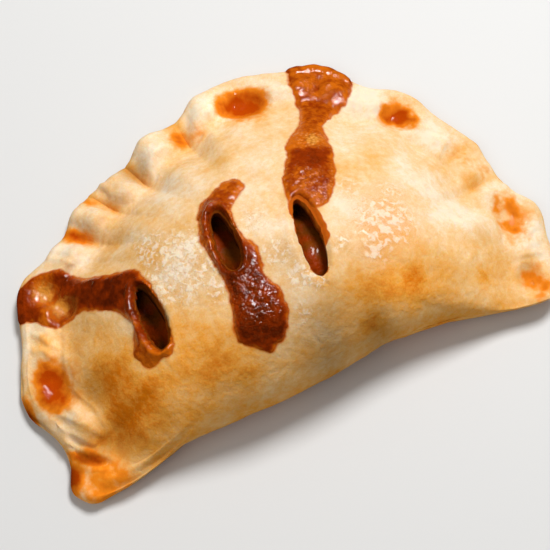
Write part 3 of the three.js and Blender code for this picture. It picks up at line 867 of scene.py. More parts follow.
# Where the top layer flaked white, and where it blistered pink: x, y, radius, strength.
FLAKED = (
    (-20.7, 4, 8, 1), (-25, 12.5, 4.5, 0.6), (-13.5, 7, 3, 0.7), (-27, 1, 3.5, 0.7),
    (-16, -5, 4, 0.5), (-1, -3, 4, 0.6), (-2.5, 6.5, 4, 0.45), (2, -9.5, 4, 0.6),
    (4.4, -12.3, 2, 1), (12.5, -7, 2.5, 0.5), (20, 5, 5, 0.35), (-1, -18, 4, 0.35),
)  # fmt: skip
BLISTERED = ((24, -5.5, 6.5, 1), (19, -11, 4, 0.6), (29, 1, 4, 0.5))


def patches(points, places):
    """Strength of the nearest of some round patches on the upper side."""
    return strongest(points[..., 0], points[..., 1], places) * ease(points[..., 2], 4.0, 6.0)


def browning(points):
    """How deeply the crust is baked, from 0 to 1, with painted shade added on the fold's lower side
    and in some folds and creases.
    """
    across, share = rim_place(points)
    angle = polar(points)[0]
    baked = 0.36 + uneven(points, (0.09, 9.0, 21), (0.05, 4.0, 22))
    baked = baked + spots(points[..., 0], points[..., 1], BROWNING_AND_SHADE_SPOTS)
    on_rim = share * ease(across, -0.1, 0.25)
    ridge = ease(crimp_at(angle)[1], PRESS_TOP, RIDGE_TOP)
    baked = baked + on_rim * (0.22 - 0.36 * ridge)
    under = 1.0 - ease(points[..., 2], 0.5, 5.0)
    # The fold's lower side is browned more, partly from baking and partly as painted shade where it
    # faces away from the light.
    fold = (1.0 - share) * (1.0 - ease(points[..., 2], 8.0, 17.0))
    return np.clip(baked + 0.35 * under + 0.2 * fold, 0.0, 1.0)


def towards_crimps(x, y):
    """From -1 to 1 across the right-hand slit."""
    middle_x, middle_y, _, width, _ = SLITS[2]
    return ((x - middle_x) * TO_CRIMPS[0] + (y - middle_y) * TO_CRIMPS[1]) / width


def stained(points):
    """How far the crust is stained by the juice: beside it, and along one side of the
    right-hand slit."""
    x, y = points[..., 0], points[..., 1]
    beside = np.exp(-np.maximum(juice_distance(x, y), 0.0) / 0.5)
    rim = signed_distance(x, y, RIGHT_SLIT) + 0.3 * unevenness(points, 1.4, 38)
    wide = 1.7 * ease(towards_crimps(x, y), 0.0, 0.5) * ease(y, -11.5, -7.0)
    along = 1.0 - ease(rim, wide * 0.6, wide + 0.05)
    return np.maximum(beside, along) * ease(points[..., 2], 2.0, 3.0)


def soaked(points):
    """1 where juice soaked the torn sides of the slits and 0 where they are dry."""
    x, y = points[..., 0], points[..., 1]
    wet = ease(slit_distance(x, y, WET_SLITS), 2.0, 1.0)
    return np.maximum(wet, ease(towards_crimps(x, y), -0.2, 0.2))


def depth_below(points):
    """How far points lie below the smooth outside of the dome."""
    return dome_height(*polar(points), 0.0) - points[..., 2]


class TURNOVER_OT_crust(bpy.types.Operator):
    """Build the folded pastry with its crimps and slits"""

    bl_idname = "turnover.crust"
    bl_label = "Crust"

    def execute(self, context):
        settings = context.scene.turnover_crust
        materials = [pastry_material(settings), torn_material(settings)]
        crust = new_piece("baked_crust", *outer_shell(), materials)
        displace(crust, lambda at: settings.relief * relief(at))
        tools = [new_piece("hollow_tool", *hollow_shell(), materials)]
        for i, (outline, lean) in enumerate(zip(SLIT_OUTLINES, SLIT_LEANS)):
            tools.append(slit_tool(outline, lean, f"slit_tool_{i}", materials))
        for tool in tools:
            count = len(tool.data.polygons)
            tool.data.polygons.foreach_set("material_index", np.ones(count, dtype=np.int32))
        carve(crust, tools)
        smooth(crust)
        at = positions(crust.data)
        # Both the degree of baking and the lighter and darker patches carry painted light and shade
        # as well as the crust's own colour.
        paint(crust, browning=browning(at), tone=tone(at), egg_wash=washed(at), soaked=soaked(at))
        paint(crust, flaked=patches(at, FLAKED), blistered=patches(at, BLISTERED))
        # Painted shade on the torn walls, darker the deeper they lie below the dome's outside.
        paint(crust, juice_edge=stained(at), cavity=ease(depth_below(at), 1.2, WALL))
        hand_in(crust, "crust")
        return {"FINISHED"}


# ---- Juice ----

# Outlines of the juice in the plan, in millimetres.
LEFT_JUICE = closed_curve(
    [
        (-60.5, 22.5), (-54.6, 21.6), (-50.8, 22.4), (-45.2, 20.8), (-41.5, 16), (-35.8, 12.2),
        (-31.4, 10.4), (-29.6, 8.1), (-28.8, 4.2), (-28.4, -2), (-28.8, -8), (-30.4, -13),
        (-32.8, -12.6), (-35.1, -13.1), (-37.1, -11.6), (-37.6, -8.8), (-36.7, -5.9), (-35, -2.6),
        (-36.3, 0.9), (-38.8, 4.3), (-44.4, 8), (-48.2, 8.2), (-52.2, 9.1), (-55.6, 12.6),
        (-61, 15.4),
    ]
)  # fmt: skip
MIDDLE_JUICE = closed_curve(
    [
        (-2.3, 18.9), (-6.3, 18), (-11.3, 15.4), (-14.2, 9), (-14.7, 4.2), (-14, -1.7),
        (-14.1, -6.1), (-14.8, -10.9), (-16.3, -14.4), (-16.4, -17.3), (-14.7, -18.9),
        (-11, -21.5), (-8.9, -20.9), (-6.9, -20.3), (-4.3, -16.5), (-3.9, -13.3), (-4.1, -9.7),
        (-5.5, -6), (-4.6, -0.8), (-5.8, 2.7), (-6.4, 6.7), (-5.7, 10.6), (-4.4, 12.9),
        (-1.6, 14.7), (-0.5, 16.4),
    ]
)  # fmt: skip
RIGHT_JUICE = closed_curve(
    [
        (24.8, 48), (23.6, 43.5), (22.6, 39.8), (21.5, 33.3), (20.1, 29.1), (18, 27),
        (13.8, 23.3), (11.3, 18.5), (7.6, 12.4), (6.4, 7.6), (8.2, 4.6), (11, 3), (14.2, 3.6),
        (17.8, 7.9), (20.8, 14), (22.5, 19.4), (23.2, 24.8), (24.2, 26.4), (28.5, 28.7),
        (33.3, 31.9), (36.6, 35.9), (38.4, 42), (36, 52), (28, 52),
    ]
)  # fmt: skip

# How thick and how dark the juice is, round a few places: x, y, radius, thickness, darkness.
JUICE_DEPTHS = (
    (-58, 19, 4, 0.5, 0.6), (-50.4, 18, 3, 0.15, 0.2), (-48.2, 12.6, 2.6, 0.15, 0.15),
    (-42.5, 14.5, 5, 0.3, 0.75), (-37, 9.5, 4, 0.35, 0.85), (-32.5, 7.5, 3, 0.5, 0.7),
    (-34.5, -3, 5, 0.5, 0.6), (-35, -11, 4, 0.5, 0.2), (-3, 17, 4, 0.5, 0.2),
    (-8.5, 14, 4, 0.6, 0.5), (-13, 5, 4, 0.6, 0.35), (-6, 2, 3, 0.6, 0.45),
    (-4.8, -11, 2, 0.6, 0.45), (-9, -4, 5, 0.8, 0.85), (-10, -13, 6, 0.95, 0.85),
    (-6, -12, 3, 0.8, 0.6), (-12, -20, 4, 0.7, 1), (31, 43, 7, 0.9, 0.15), (27, 36, 5, 0.7, 0.25),
    (21.5, 27.5, 3, 0.4, 0.3), (19.2, 21.5, 2.5, 0.3, 0), (17.3, 16.2, 2.4, 0.5, 0.7),
    (13.3, 11, 4, 0.5, 0.3), (8.5, 6.5, 3, 0.4, 0.3),
)  # fmt: skip


def juice_distance(x, y):
    """Distance to the nearest juice in the plan, below zero in it."""
    edges = [signed_distance(x, y, o) for o in (LEFT_JUICE, MIDDLE_JUICE, RIGHT_JUICE)]
    rims = [np.abs(signed_distance(x, y, outline)) - LIP_REACH for outline in WET_SLITS]
    flat = flat_points(x, y)
    return np.minimum.reduce([*edges, *rims]) + uneven(flat, (0.35, 2.2, 31), (0.2, 0.9, 32))


def juice_place(x, y):
    """How thick and how dark the juice is away from its edges."""
    weight = depth = darkness = 1e-6
    for px, py, radius, thick, dark in JUICE_DEPTHS:
        close = closeness(x, y, px, py, radius)
        weight = weight + close
        depth = depth + close * thick
        darkness = darkness + close * dark
    return depth / weight, darkness / weight


# Where the juice boiled into froth, and where it is thin and golden: x, y, radius, strength.
FROTHY = ((13.5, 11, 5.5, 1), (-9.5, -9, 9, 1), (-9.5, 8, 7, 1), (19, 22, 3, 1))
GOLDEN = ((-50.6, 18, 2.8, 1), (-48.4, 12.8, 2.6, 1), (19.4, 21.3, 2.2, 1))

EDGE_ROUND = 0.7  # how far in from its edge the juice is nearly full depth
EDGE_SLOPE = 0.45  # how steeply the juice's edge runs under the crust
FILM_ROOT = 0.4  # how far the juice's edge dips under the crust
ROOT_DEPTH, ROOT_SPARED = 0.8, 0.3  # how deep its underside lies, and how much less at a slit
LIP_REACH = 0.4  # how far the juice reaches round the lip of a wet slit
LIP_FADE = (0.1, 0.85)  # distances from a slit's lip over which the juice comes to lie on top
LEAST_BESIDE = 0.15  # how near the juice comes to a slit's lip
BEAD_RISE, BEAD_PLACE = 0.6, (1.1, 0.8)  # the bead round a slit: distance from its lip, width
BUBBLE_SIZE = 0.8  # of the fine froth in the juice's skin


def frothy(x, y):
    """How frothy the juice is, from 0 to 1."""
    return np.clip(spots(x, y, FROTHY), 0.0, 1.0)


def juice_thickness(points):
    """Thickness of the juice over points on the crust, below zero where there is none."""
    x, y = points[..., 0], points[..., 1]
    away = juice_distance(x, y)
    depth = juice_place(x, y)[0]
    body = depth * (1.0 - np.exp(np.minimum(away, 0.0) / EDGE_ROUND))
    froth = frothy(x, y)
    lumps = uneven(points, (0.25, 3.0, 33), (0.15, 1.5, 34))
    foam = 0.22 * bubbles(points, 1.5, 35) + 0.1 * unevenness(points, 1.0, 36)
    bead = BEAD_RISE * bell(slit_distance(x, y, WET_SLITS), *BEAD_PLACE)
    thick = body * (1.0 + lumps) + (froth * foam + bead) * ease(-away, 0.0, 0.5)
    return np.where(away < 0.0, thick, -EDGE_SLOPE * away)


def juice_darkness(points):
    """How dark the juice looks: golden at its thin edges, darker inside."""
    x, y = points[..., 0], points[..., 1]
    inside = np.maximum(-juice_distance(x, y), 0.0)
    dark = juice_place(x, y)[1] + 0.12 * unevenness(points, 1.8, 37)
    outer = 0.35 * ease(points[..., 2], 9.0, 4.0) * np.exp(-inside / 0.8)
    return np.clip(dark * (0.3 + 0.7 * ease(inside, 0.0, 1.6)) + outer, 0.0, 1.0)


def grid_normals(points):
    """The direction that a grid of points faces, at each point."""
    along = np.gradient(points, axis=0)
    across = np.gradient(points, axis=1)
    normal = np.cross(along, across)
    normal /= np.maximum(np.linalg.norm(normal, axis=-1, keepdims=True), 1e-9)
    return normal


def juice_patch(name, surface, material):
    """Juice over a grid of points on the smooth pastry, closed below the crust."""
    normals = grid_normals(surface)
    if normals[..., 2].mean() < 0.0:
        surface, normals = surface[:, ::-1], -normals[:, ::-1]
    x, y = surface[..., 0], surface[..., 1]
    beside = slit_distance(x, y)
    thick = (juice_thickness(surface) + FILM_ROOT) * ease(beside, *LIP_FADE) - FILM_ROOT
    wet = (thick > -FILM_ROOT) & (beside > LEAST_BESIDE)
    keep = wet[:-1, :-1] & wet[1:, :-1] & wet[:-1, 1:] & wet[1:, 1:]
    root = ROOT_DEPTH - ROOT_SPARED * bell(np.maximum(beside, 0.0), 0.0, 0.6)
    crust = surface + normals * relief(surface)[..., None]
    top = crust + normals * np.maximum(thick, -FILM_ROOT)[..., None]
    below = crust - normals * root[..., None]
    index = np.arange(thick.size).reshape(thick.shape)
    a, b, c, d = index[:-1, :-1], index[1:, :-1], index[1:, 1:], index[:-1, 1:]
    around = np.stack([a[keep], b[keep], c[keep], d[keep]], 1)
    faces = [around, around[:, ::-1] + thick.size]
    padded = np.pad(keep, 1)
    beyond = (padded[1:-1, :-2], padded[2:, 1:-1], padded[1:-1, 2:], padded[:-2, 1:-1])
    for step, first, second in zip(beyond, (a, b, c, d), (b, c, d, a)):
        start, end = first[keep & ~step], second[keep & ~step]
        faces.append(np.stack([start, start + thick.size, end + thick.size, end], 1))
    faces = np.concatenate(faces)
    points = np.concatenate([top.reshape(-1, 3), below.reshape(-1, 3)])
    used = np.unique(faces)
    renumber = np.zeros(len(points), dtype=int)
    renumber[used] = np.arange(len(used))
    piece = new_piece(name, points[used], renumber[faces], [material])
    smooth(piece, 60.0)
    layers = {
        "juice_depth": juice_darkness(surface),
        "clear": strongest(x, y, GOLDEN),
        "froth": frothy(x, y),
    }
    paint(piece, **{label: np.tile(values.ravel(), 2)[used] for label, values in layers.items()})
    hand_in(piece, "crust")


def polar_grid(degrees, ways, step_degrees, rows):
    angles = np.radians(np.arange(*degrees, step_degrees))
    return np.stack([outside_points(angles, way) for way in np.linspace(*ways, rows)])


def plan_grid(x_range, y_range, step):
    x, y = np.meshgrid(np.arange(*x_range, step), np.arange(*y_range, step), indexing="ij")
    flat = flat_points(x, y)
    flat[..., 2] = dome_height(*polar(flat), 0.0)
    return flat


class TURNOVER_OT_juice(bpy.types.Operator):
    """Build the thick juice that ran out of the slits"""

    bl_idname = "turnover.juice"
    bl_label = "Juice"

    def execute(self, context):
        material = juice_material(context.scene.turnover_juice)
        left = polar_grid((136.0, 186.0), (0.17, 0.83), 0.36, 190)
        middle = plan_grid((-19.0, 2.5), (-25.0, 22.0), 0.3)
        right = polar_grid((34.0, 86.0), (0.05, 0.83), 0.33, 230)
        for side, surface in (("left", left), ("middle", middle), ("right", right)):
            juice_patch(f"juice_{side}", surface, material)
        return {"FINISHED"}


# ---- Filling ----


class TURNOVER_OT_filling(bpy.types.Operator):
    """Build the pieces of cooked apple inside"""

    bl_idname = "turnover.filling"
    bl_label = "Filling"

    def execute(self, context):
        material = apple_material(context.scene.turnover_juice)

        def sunk(x, y):
            """How far the apple lies below the crust, less where a large piece stands up."""
            slumped = HEADROOM + SLUMP * np.sin(x * 0.42 + 1.0) * np.cos(y * 0.38)
            pieces = 1.2 * bubbles(flat_points(x, y), 9.0, 41)
            big = 2.6 * np.exp(-(((x - 8.0) / 4.0) ** 2 + ((y + 7.5) / 5.0) ** 2) ** 1.5)
            return np.maximum(slumped - pieces - big, 0.6)

        def place(angles, way):
            return inside_points(angles, way, WALL + FIT_GAP, sunk)

        ways = ring_ways((0.0, HOLLOW_TOP, 80), (HOLLOW_TOP, 1.0, 12))
        apple = ring_mesh(place, ways, APPLE_COUNT, lambda way: 2 if way > 0.9 else 0)
        filling = new_piece("cooked_apple", *apple, [material])
        smooth(filling, 70.0)
        hand_in(filling, "filling")
        return {"FINISHED"}


# ---- Materials ----


def opaque(colour):
    """A colour with full alpha, or a socket as it is."""
    return colour if isinstance(colour, bpy.types.NodeSocket) else (*colour, 1.0)


class Tree:
    """Adds nodes to a node tree and links them."""

    def __init__(self, tree):
        self.tree = tree

    def fill(self, node, inputs):
        """Links or sets a node's inputs."""
        for key, value in inputs.items():
            if isinstance(value, bpy.types.NodeSocket):
                self.tree.links.new(value, node.inputs[key])
            else:
                node.inputs[key].default_value = value
        return node

    def add(self, kind, inputs=None, **settings):
        node = self.tree.nodes.new(kind)
        for name, value in settings.items():
            setattr(node, name, value)
        return self.fill(node, inputs or {})

    def calc(self, operation, first, second=0.0, third=0.0, clamp=False):
        inputs = {0: first, 1: second, 2: third}
        return self.add("ShaderNodeMath", inputs, operation=operation, use_clamp=clamp).outputs[0]

    def times(self, first, second):
        return self.calc("MULTIPLY", first, second)

    def add_share(self, value, share, onto, clamp=False):
        """A share of a value on top of another."""
        return self.calc("MULTIPLY_ADD", value, share, onto, clamp)

    def vary(self, value, amount, pattern, clamp=False):
        """A value made uneven by a pattern that runs from 0 to 1."""
        return self.add_share(self.calc("SUBTRACT", pattern, 0.5), amount, value, clamp)

    def range(self, value, low, high, to_low=0.0, to_high=1.0):
        inputs = {0: value, 1: low, 2: high, 3: to_low, 4: to_high}
        return self.add("ShaderNodeMapRange", inputs, interpolation_type="SMOOTHSTEP").outputs[0]

    def mix(self, share, first, second):
        inputs = {0: share, 6: opaque(first), 7: opaque(second)}
        return self.add("ShaderNodeMix", inputs, data_type="RGBA").outputs[2]

    def ramp(self, value, stops):
        node = self.add("ShaderNodeValToRGB", {0: value})
        marks = node.color_ramp.elements
        while len(marks) < len(stops):
            marks.new(0.5)
        for mark, (place, colour) in zip(marks, stops):
            mark.position = place
            mark.color = opaque(colour)
        return node.outputs[0]

    def lighten(self, colour, amount):
        """A colour made lighter by a share, or darker below zero."""
        inputs = {0: colour, "Scale": self.calc("ADD", amount, 1.0)}
        return self.add("ShaderNodeVectorMath", inputs, operation="SCALE").outputs[0]

    def attribute(self, name):
        return self.add("ShaderNodeAttribute", attribute_name=name).outputs["Fac"]

    def millimetres(self):
        inputs = {0: self.add("ShaderNodeTexCoord").outputs["Object"], "Scale": 1.0 / MM}
        return self.add("ShaderNodeVectorMath", inputs, operation="SCALE").outputs[0]

    def bump(self, height, distance):
        inputs = {"Height": height, "Distance": distance * MM}
        return self.add("ShaderNodeBump", inputs).outputs[0]

    def effect(self, group, **inputs):
        """Places a shader node group. The inputs are its sockets, with _ for each space."""
        named = {key.replace("_", " "): value for key, value in inputs.items()}
        return self.add("ShaderNodeGroup", named, node_tree=group).outputs


def shader_group(name, inputs, outputs, build):
    """A shader node group, built once. Inputs are name: (kind, default), outputs name: kind, and
    build(tree, given) returns a value for each output."""
    group = bpy.data.node_groups.get(name)
    if group:
        return group
    group = bpy.data.node_groups.new(name, "ShaderNodeTree")
    for label, (kind, default) in inputs.items():
        socket = group.interface.new_socket(label, in_out="INPUT", socket_type=kind)
        if default is not None:
            socket.default_value = default
    for label, kind in outputs.items():
        group.interface.new_socket(label, in_out="OUTPUT", socket_type=kind)
    tree = Tree(group)
    given = tree.add("NodeGroupInput").outputs
    tree.fill(tree.add("NodeGroupOutput"), dict(zip(outputs, build(tree, given))))
    return group


VECTOR, VALUE, COLOUR = "NodeSocketVector", "NodeSocketFloat", "NodeSocketColor"


def mottle_group():
    """Uneven baking: broad patches, small freckles and fine grain, each from 0 to 1."""

    def build(tree, given):
        for label, detail in (("Broad", 3.0), ("Freckle", 4.0), ("Grain", 3.0)):
            scale = tree.calc("DIVIDE", 1.0, given[label + " Size"])
            inputs = {"Vector": given["Place"], "Scale": scale, "Detail": detail}
            noise = tree.add("ShaderNodeTexNoise", inputs)
            yield tree.range(noise.outputs[0], 0.28, 0.72)

    sizes = {"Broad Size": 6.0, "Freckle Size": 1.4, "Grain Size": 0.4}
    inputs = {"Place": (VECTOR, None), **{name: (VALUE, size) for name, size in sizes.items()}}
    patterns = dict.fromkeys(("Broad", "Freckle", "Grain"), VALUE)
    return shader_group("Mottle", inputs, patterns, build)


def flake_group():
    """The torn skin of the top layer: its white edges, the gaps in it, and their height."""

    def build(tree, given):
        amount = given["Amount"]
        scale = tree.calc("DIVIDE", 1.0, given["Size"])
        looks = ((scale, 2.0, 0.5), (tree.times(scale, 1.8), 1.0, 0.6))
        skin, crack = (
            tree.add(
                "ShaderNodeTexNoise",
                {"Vector": given["Place"], "Scale": size, "Detail": detail, "Distortion": bend},
            ).outputs[0]
            for size, detail, bend in looks
        )
        enough = tree.range(amount, 0.05, 0.5)
        over = tree.calc("ADD", skin, tree.add_share(amount, 0.13, -0.58))
        white = tree.times(tree.range(over, -0.07, 0.15), enough)
        from_line = tree.calc("ABSOLUTE", tree.calc("SUBTRACT", crack, 0.5))
        line = tree.times(tree.range(from_line, 0.035, 0.005), enough)
        gap = tree.times(line, tree.calc("SUBTRACT", 1.0, tree.times(white, 0.6)))
        return white, gap, tree.add_share(gap, -0.6, white)

    inputs = {"Place": (VECTOR, None), "Size": (VALUE, 1.2), "Amount": (VALUE, 0.0)}
    return shader_group("Flakes", inputs, dict.fromkeys(("White", "Gap", "Height"), VALUE), build)


def syrup_group():
    """Colour of browned juice from its depth: golden where thin, nearly black where thick."""

    def build(tree, given):
        depth = given["Depth"]
        first = tree.mix(tree.range(depth, 0.0, 0.5), given["Thin Colour"], given["Rich Colour"])
        return (tree.mix(tree.range(depth, 0.4, 1.0), first, given["Thick Colour"]),)

    inputs = {
        "Depth": (VALUE, 0.5),
        "Thin Colour": (COLOUR, (0.6, 0.16, 0.015, 1.0)),
        "Rich Colour": (COLOUR, (0.3, 0.04, 0.003, 1.0)),
        "Thick Colour": (COLOUR, (0.05, 0.008, 0.003, 1.0)),
    }
    return shader_group("Syrup Colour", inputs, {"Colour": COLOUR}, build)


def new_material(name, **sizes):
    """A material, its node tree, its shader, and the mottle's broad, freckle and grain."""
    material = bpy.data.materials.new(name)
    material.use_nodes = True
    material.node_tree.nodes.clear()
    tree = Tree(material.node_tree)
    shader = tree.add("ShaderNodeBsdfPrincipled")
    tree.add("ShaderNodeOutputMaterial", {0: shader.outputs[0]})
    place = tree.millimetres()
    return material, tree, shader, place, tree.effect(mottle_group(), Place=place, **sizes)


def pastry_material(settings):
    material, tree, shader, place, mottle = new_material("Baked pastry")
    broad, freckle, grain = mottle
    # The ramp's place comes from baking with painted shade mixed in, on the fold and in some folds
    # and creases.
    baked = tree.attribute("browning")
    for pattern, amount in ((broad, 0.22), (freckle, 0.15)):
        baked = tree.vary(baked, amount, pattern)
    baked = tree.vary(baked, 0.1, grain, clamp=True)
    shades = (settings.pale, settings.cream, settings.light_gold, settings.golden, settings.brown)
    colour = tree.ramp(baked, [(i / 4, shade) for i, shade in enumerate(shades)])
    flaked, blistered = tree.attribute("flaked"), tree.attribute("blistered")
    flakes = tree.effect(flake_group(), Place=place, Size=1.3, Amount=flaked)
    blisters = tree.effect(flake_group(), Place=place, Size=1.4, Amount=blistered)
    for part, strength, tint in (
        (blistered, 0.6, settings.blister),
        (blisters["White"], 0.6, settings.flake),
        (blisters["Gap"], 0.6, settings.golden),
        (flakes["White"], 0.65, settings.flake),
        (flakes["Gap"], 0.4, settings.golden),
    ):
        colour = tree.mix(tree.times(part, strength), colour, tint)
    wash = tree.vary(tree.vary(tree.attribute("egg_wash"), 0.15, broad), 0.15, freckle)
    pooled = tree.range(wash, 0.08, 0.55)
    washes = ((0.2, settings.wash_light), (0.55, settings.wash_thin), (1.0, settings.wash_deep))
    colour = tree.mix(pooled, colour, tree.ramp(wash, washes))
    edge = tree.range(tree.attribute("juice_edge"), 0.25, 0.9)
    colour = tree.mix(edge, colour, settings.stain)
    rough = tree.add_share(pooled, -0.22, tree.range(freckle, 0.0, 1.0, 0.36, 0.55))
    glossy = tree.times(pooled, tree.range(freckle, 0.5, 0.58))
    torn = tree.calc("ADD", flakes["White"], blisters["White"])
    coat = tree.add_share(torn, 0.12, tree.add_share(glossy, 0.22, 0.02), clamp=True)
    height = tree.add_share(freckle, 0.5, tree.times(grain, 0.12))
    height = tree.times(height, tree.calc("SUBTRACT", 1.0, tree.times(pooled, 0.3)))
    height = tree.add_share(flakes["Height"], 0.45, height)
    height = tree.add_share(blisters["Height"], 0.2, height)
    looks = {
        # Painted light and shade, with some of the crust's own colour, make the crust lighter or
        # darker here.
        "Base Color": tree.lighten(colour, tree.attribute("tone")),
        "Roughness": rough,
        "Coat Weight": coat,
        "Coat Roughness": 0.03,
        "Specular IOR Level": 0.005,
        "Subsurface Weight": 0.2,
        "Subsurface Radius": (1.0, 0.35, 0.1),
        "Subsurface Scale": 2.0 * MM,
        "Normal": tree.bump(height, 0.16),
    }
    tree.fill(shader, looks)
    return material


def torn_material(settings):
    material, tree, shader, _, mottle = new_material("Torn pastry", Broad_Size=3.0)
    cavity = tree.attribute("cavity")
    # The torn walls turn darker with depth as painted shade, the soaked ones and the dry ones each
    # towards a dark wall colour.
    soaked = tree.mix(mottle["Broad"], settings.wash_thin, settings.wash_deep)
    soaked = tree.mix(cavity, soaked, settings.soaked_wall_shade)
    dry = tree.mix(cavity, settings.cream, settings.dry_wall_shade)
    colour = tree.mix(tree.attribute("soaked"), dry, soaked)
    looks = {
        # Painted shade in and round the wet slits, and the crust's other lighter and darker
        # patches, change the walls' colour here.
        "Base Color": tree.lighten(colour, tree.attribute("tone")),
        "Roughness": tree.range(mottle["Freckle"], 0.0, 1.0, 0.35, 0.7),
        "Specular IOR Level": 0.15,
        "Normal": tree.bump(mottle["Freckle"], 0.4),
    }
    tree.fill(shader, looks)
    return material


def syrup_colour(tree, settings, depth, thin):
    colours = {
        "Thin_Colour": opaque(thin),
        "Rich_Colour": opaque(settings.rich),
        "Thick_Colour": opaque(settings.thick),
    }
    return tree.effect(syrup_group(), Depth=depth, **colours)[0]


def juice_material(settings):
    material, tree, shader, place, mottle = new_material(
        "Browned juice", Broad_Size=3.5, Freckle_Size=1.2
    )
    broad, freckle, grain = mottle
    deep, froth = tree.attribute("juice_depth"), tree.attribute("froth")
    depth = tree.vary(tree.vary(deep, 0.26, broad), 0.2, freckle)
    colour = syrup_colour(tree, settings, depth, settings.thin)
    clear = tree.range(tree.vary(tree.attribute("clear"), 0.4, freckle), 0.25, 0.9)
    colour = tree.mix(clear, colour, settings.clear)
    bubble = tree.add("ShaderNodeTexVoronoi", {"Vector": place, "Scale": 1.0 / BUBBLE_SIZE})
    bubble = bubble.outputs["Distance"]
    # Paler froth at each bubble's middle, partly the froth's own colour and partly a painted
    # highlight.
    foam = tree.times(tree.range(bubble, 0.45, 0.15), froth)
    foam = tree.times(foam, tree.range(deep, 0.32, 0.12, 0.06, 0.8))
    colour = tree.mix(foam, colour, settings.foam)
    between = tree.times(tree.times(tree.range(bubble, 0.5, 0.75), froth), 0.6)
    colour = tree.mix(between, colour, settings.rich)
    dome = tree.calc("SUBTRACT", 1.0, tree.calc("POWER", bubble, 2.0), clamp=True)
    dome = tree.times(tree.calc("SQRT", dome), froth)
    looks = {
        "Base Color": colour,
        "Roughness": tree.range(grain, 0.0, 1.0, 0.06, 0.12),
        "Specular IOR Level": 0.35,
        "Coat Weight": 0.3,
        "Coat Roughness": 0.04,
        "Normal": tree.bump(tree.add_share(freckle, 0.35, dome), 0.4),
    }
    tree.fill(shader, looks)
    return material


def apple_material(settings):
    material, tree, shader, _, mottle = new_material("Cooked apple", Broad_Size=5.0)
    depth = tree.range(mottle["Broad"], 0.0, 1.0, 0.05, 0.45)
    looks = {
        "Base Color": syrup_colour(tree, settings, depth, settings.apple),
        "Roughness": tree.range(mottle["Grain"], 0.0, 1.0, 0.15, 0.3),
        "Specular IOR Level": 0.03,
        "Coat Weight": 0.25,
        "Coat Roughness": 0.08,
        "Normal": tree.bump(mottle["Freckle"], 0.2),
    }
    tree.fill(shader, looks)
    return material


def table_material(settings):
    material, tree, shader, _, mottle = new_material("Pale table", Broad_Size=60.0)
    share = tree.range(mottle["Broad"], 0.0, 1.0, 0.0, 0.04)
    colour = tree.mix(share, settings.table, settings.table_mottle)
    tree.fill(shader, {"Base Color": colour, "Roughness": 0.6})
    return material


# ---- Stage ----

CAMERA_DISTANCE = 0.380
CAMERA_TURN = -24.6  # degrees
CAMERA_HEIGHT = 72.0  # degrees above the table
AIM = Vector((0.0, 0.0, 0.004))
SPAN = 0.128  # how much of the pastry's length fills the picture
TABLE_EDGE = 1500.0  # half its side, in millimetres

# The lamps: name, turn and height in degrees, distance, size, share of the window's power, colour,
# and whether wet surfaces mirror it.
LAMPS = (
    ("window", 40.0, 58.0, 0.95, 0.3, 1.0, (1.0, 0.99, 0.97), True),
    ("bounce", 195.0, 58.0, 1.1, 0.8, 0.24, (1.0, 0.98, 0.95), False),
)


def direction(turn, height):
    """A direction from an azimuth, from +X towards +Y, and a height above the table, in degrees."""
    turn, height = math.radians(turn), math.radians(height)
    flat = math.cos(height)
    return Vector((math.cos(turn) * flat, math.sin(turn) * flat, math.sin(height)))


def hang(name, data, aim, towards, distance):
    """A lamp or camera at a distance from its aim, turned to it."""
    holder = bpy.data.objects.new(name, data)
    holder.location = aim + towards * distance
    holder.rotation_mode = "QUATERNION"
    holder.rotation_quaternion = towards.to_track_quat("Z", "Y")
    bpy.context.scene.collection.objects.link(holder)
    return holder


def add_lamp(name, turn, height, distance, size, power, colour, mirrored):
    lamp = bpy.data.lights.new(name, "AREA")
    lamp.shape, lamp.size, lamp.energy, lamp.color = "DISK", size, power, colour
    holder = hang(name, lamp, Vector(), direction(turn, height), distance)
    holder.visible_glossy = mirrored


def add_camera():
    data = bpy.data.cameras.new("camera")
    data.sensor_width = 36.0
    data.lens = data.sensor_width * CAMERA_DISTANCE / SPAN
    data.clip_start, data.clip_end = 0.01, 20.0
    back = direction(CAMERA_TURN - 90.0, CAMERA_HEIGHT)
    bpy.context.scene.camera = hang("camera", data, AIM, back, CAMERA_DISTANCE)


class TURNOVER_OT_stage(bpy.types.Operator):
    """Set up the pale table, the soft lights and the camera"""

    bl_idname = "turnover.stage"
    bl_label = "Stage"

    def execute(self, context):
        settings = context.scene.turnover_stage
        edge = TABLE_EDGE
        corners = [(-edge, -edge, 0), (edge, -edge, 0), (edge, edge, 0), (-edge, edge, 0)]
        table = new_piece("table", corners, [(0, 1, 2, 3)], [table_material(settings)])
        table.visible_glossy = False
        world = bpy.data.worlds.new("soft room")
        world.use_nodes = True
        world.cycles_visibility.glossy = False
        background = world.node_tree.nodes["Background"]
        background.inputs[0].default_value = opaque(settings.room_colour)
        background.inputs[1].default_value = settings.room
        context.scene.world = world
        for *place, share, colour, mirrored in LAMPS:
            add_lamp(*place, settings.window * share, colour, mirrored)
        context.scene.view_settings.view_transform = "Standard"
        add_camera()
        return {"FINISHED"}


# ---- Settings and panel ----


def colour_setting(name, description, default):
    return bpy.props.FloatVectorProperty(
        name=name, description=description, default=default, subtype="COLOR", min=0.0, max=1.0
    )


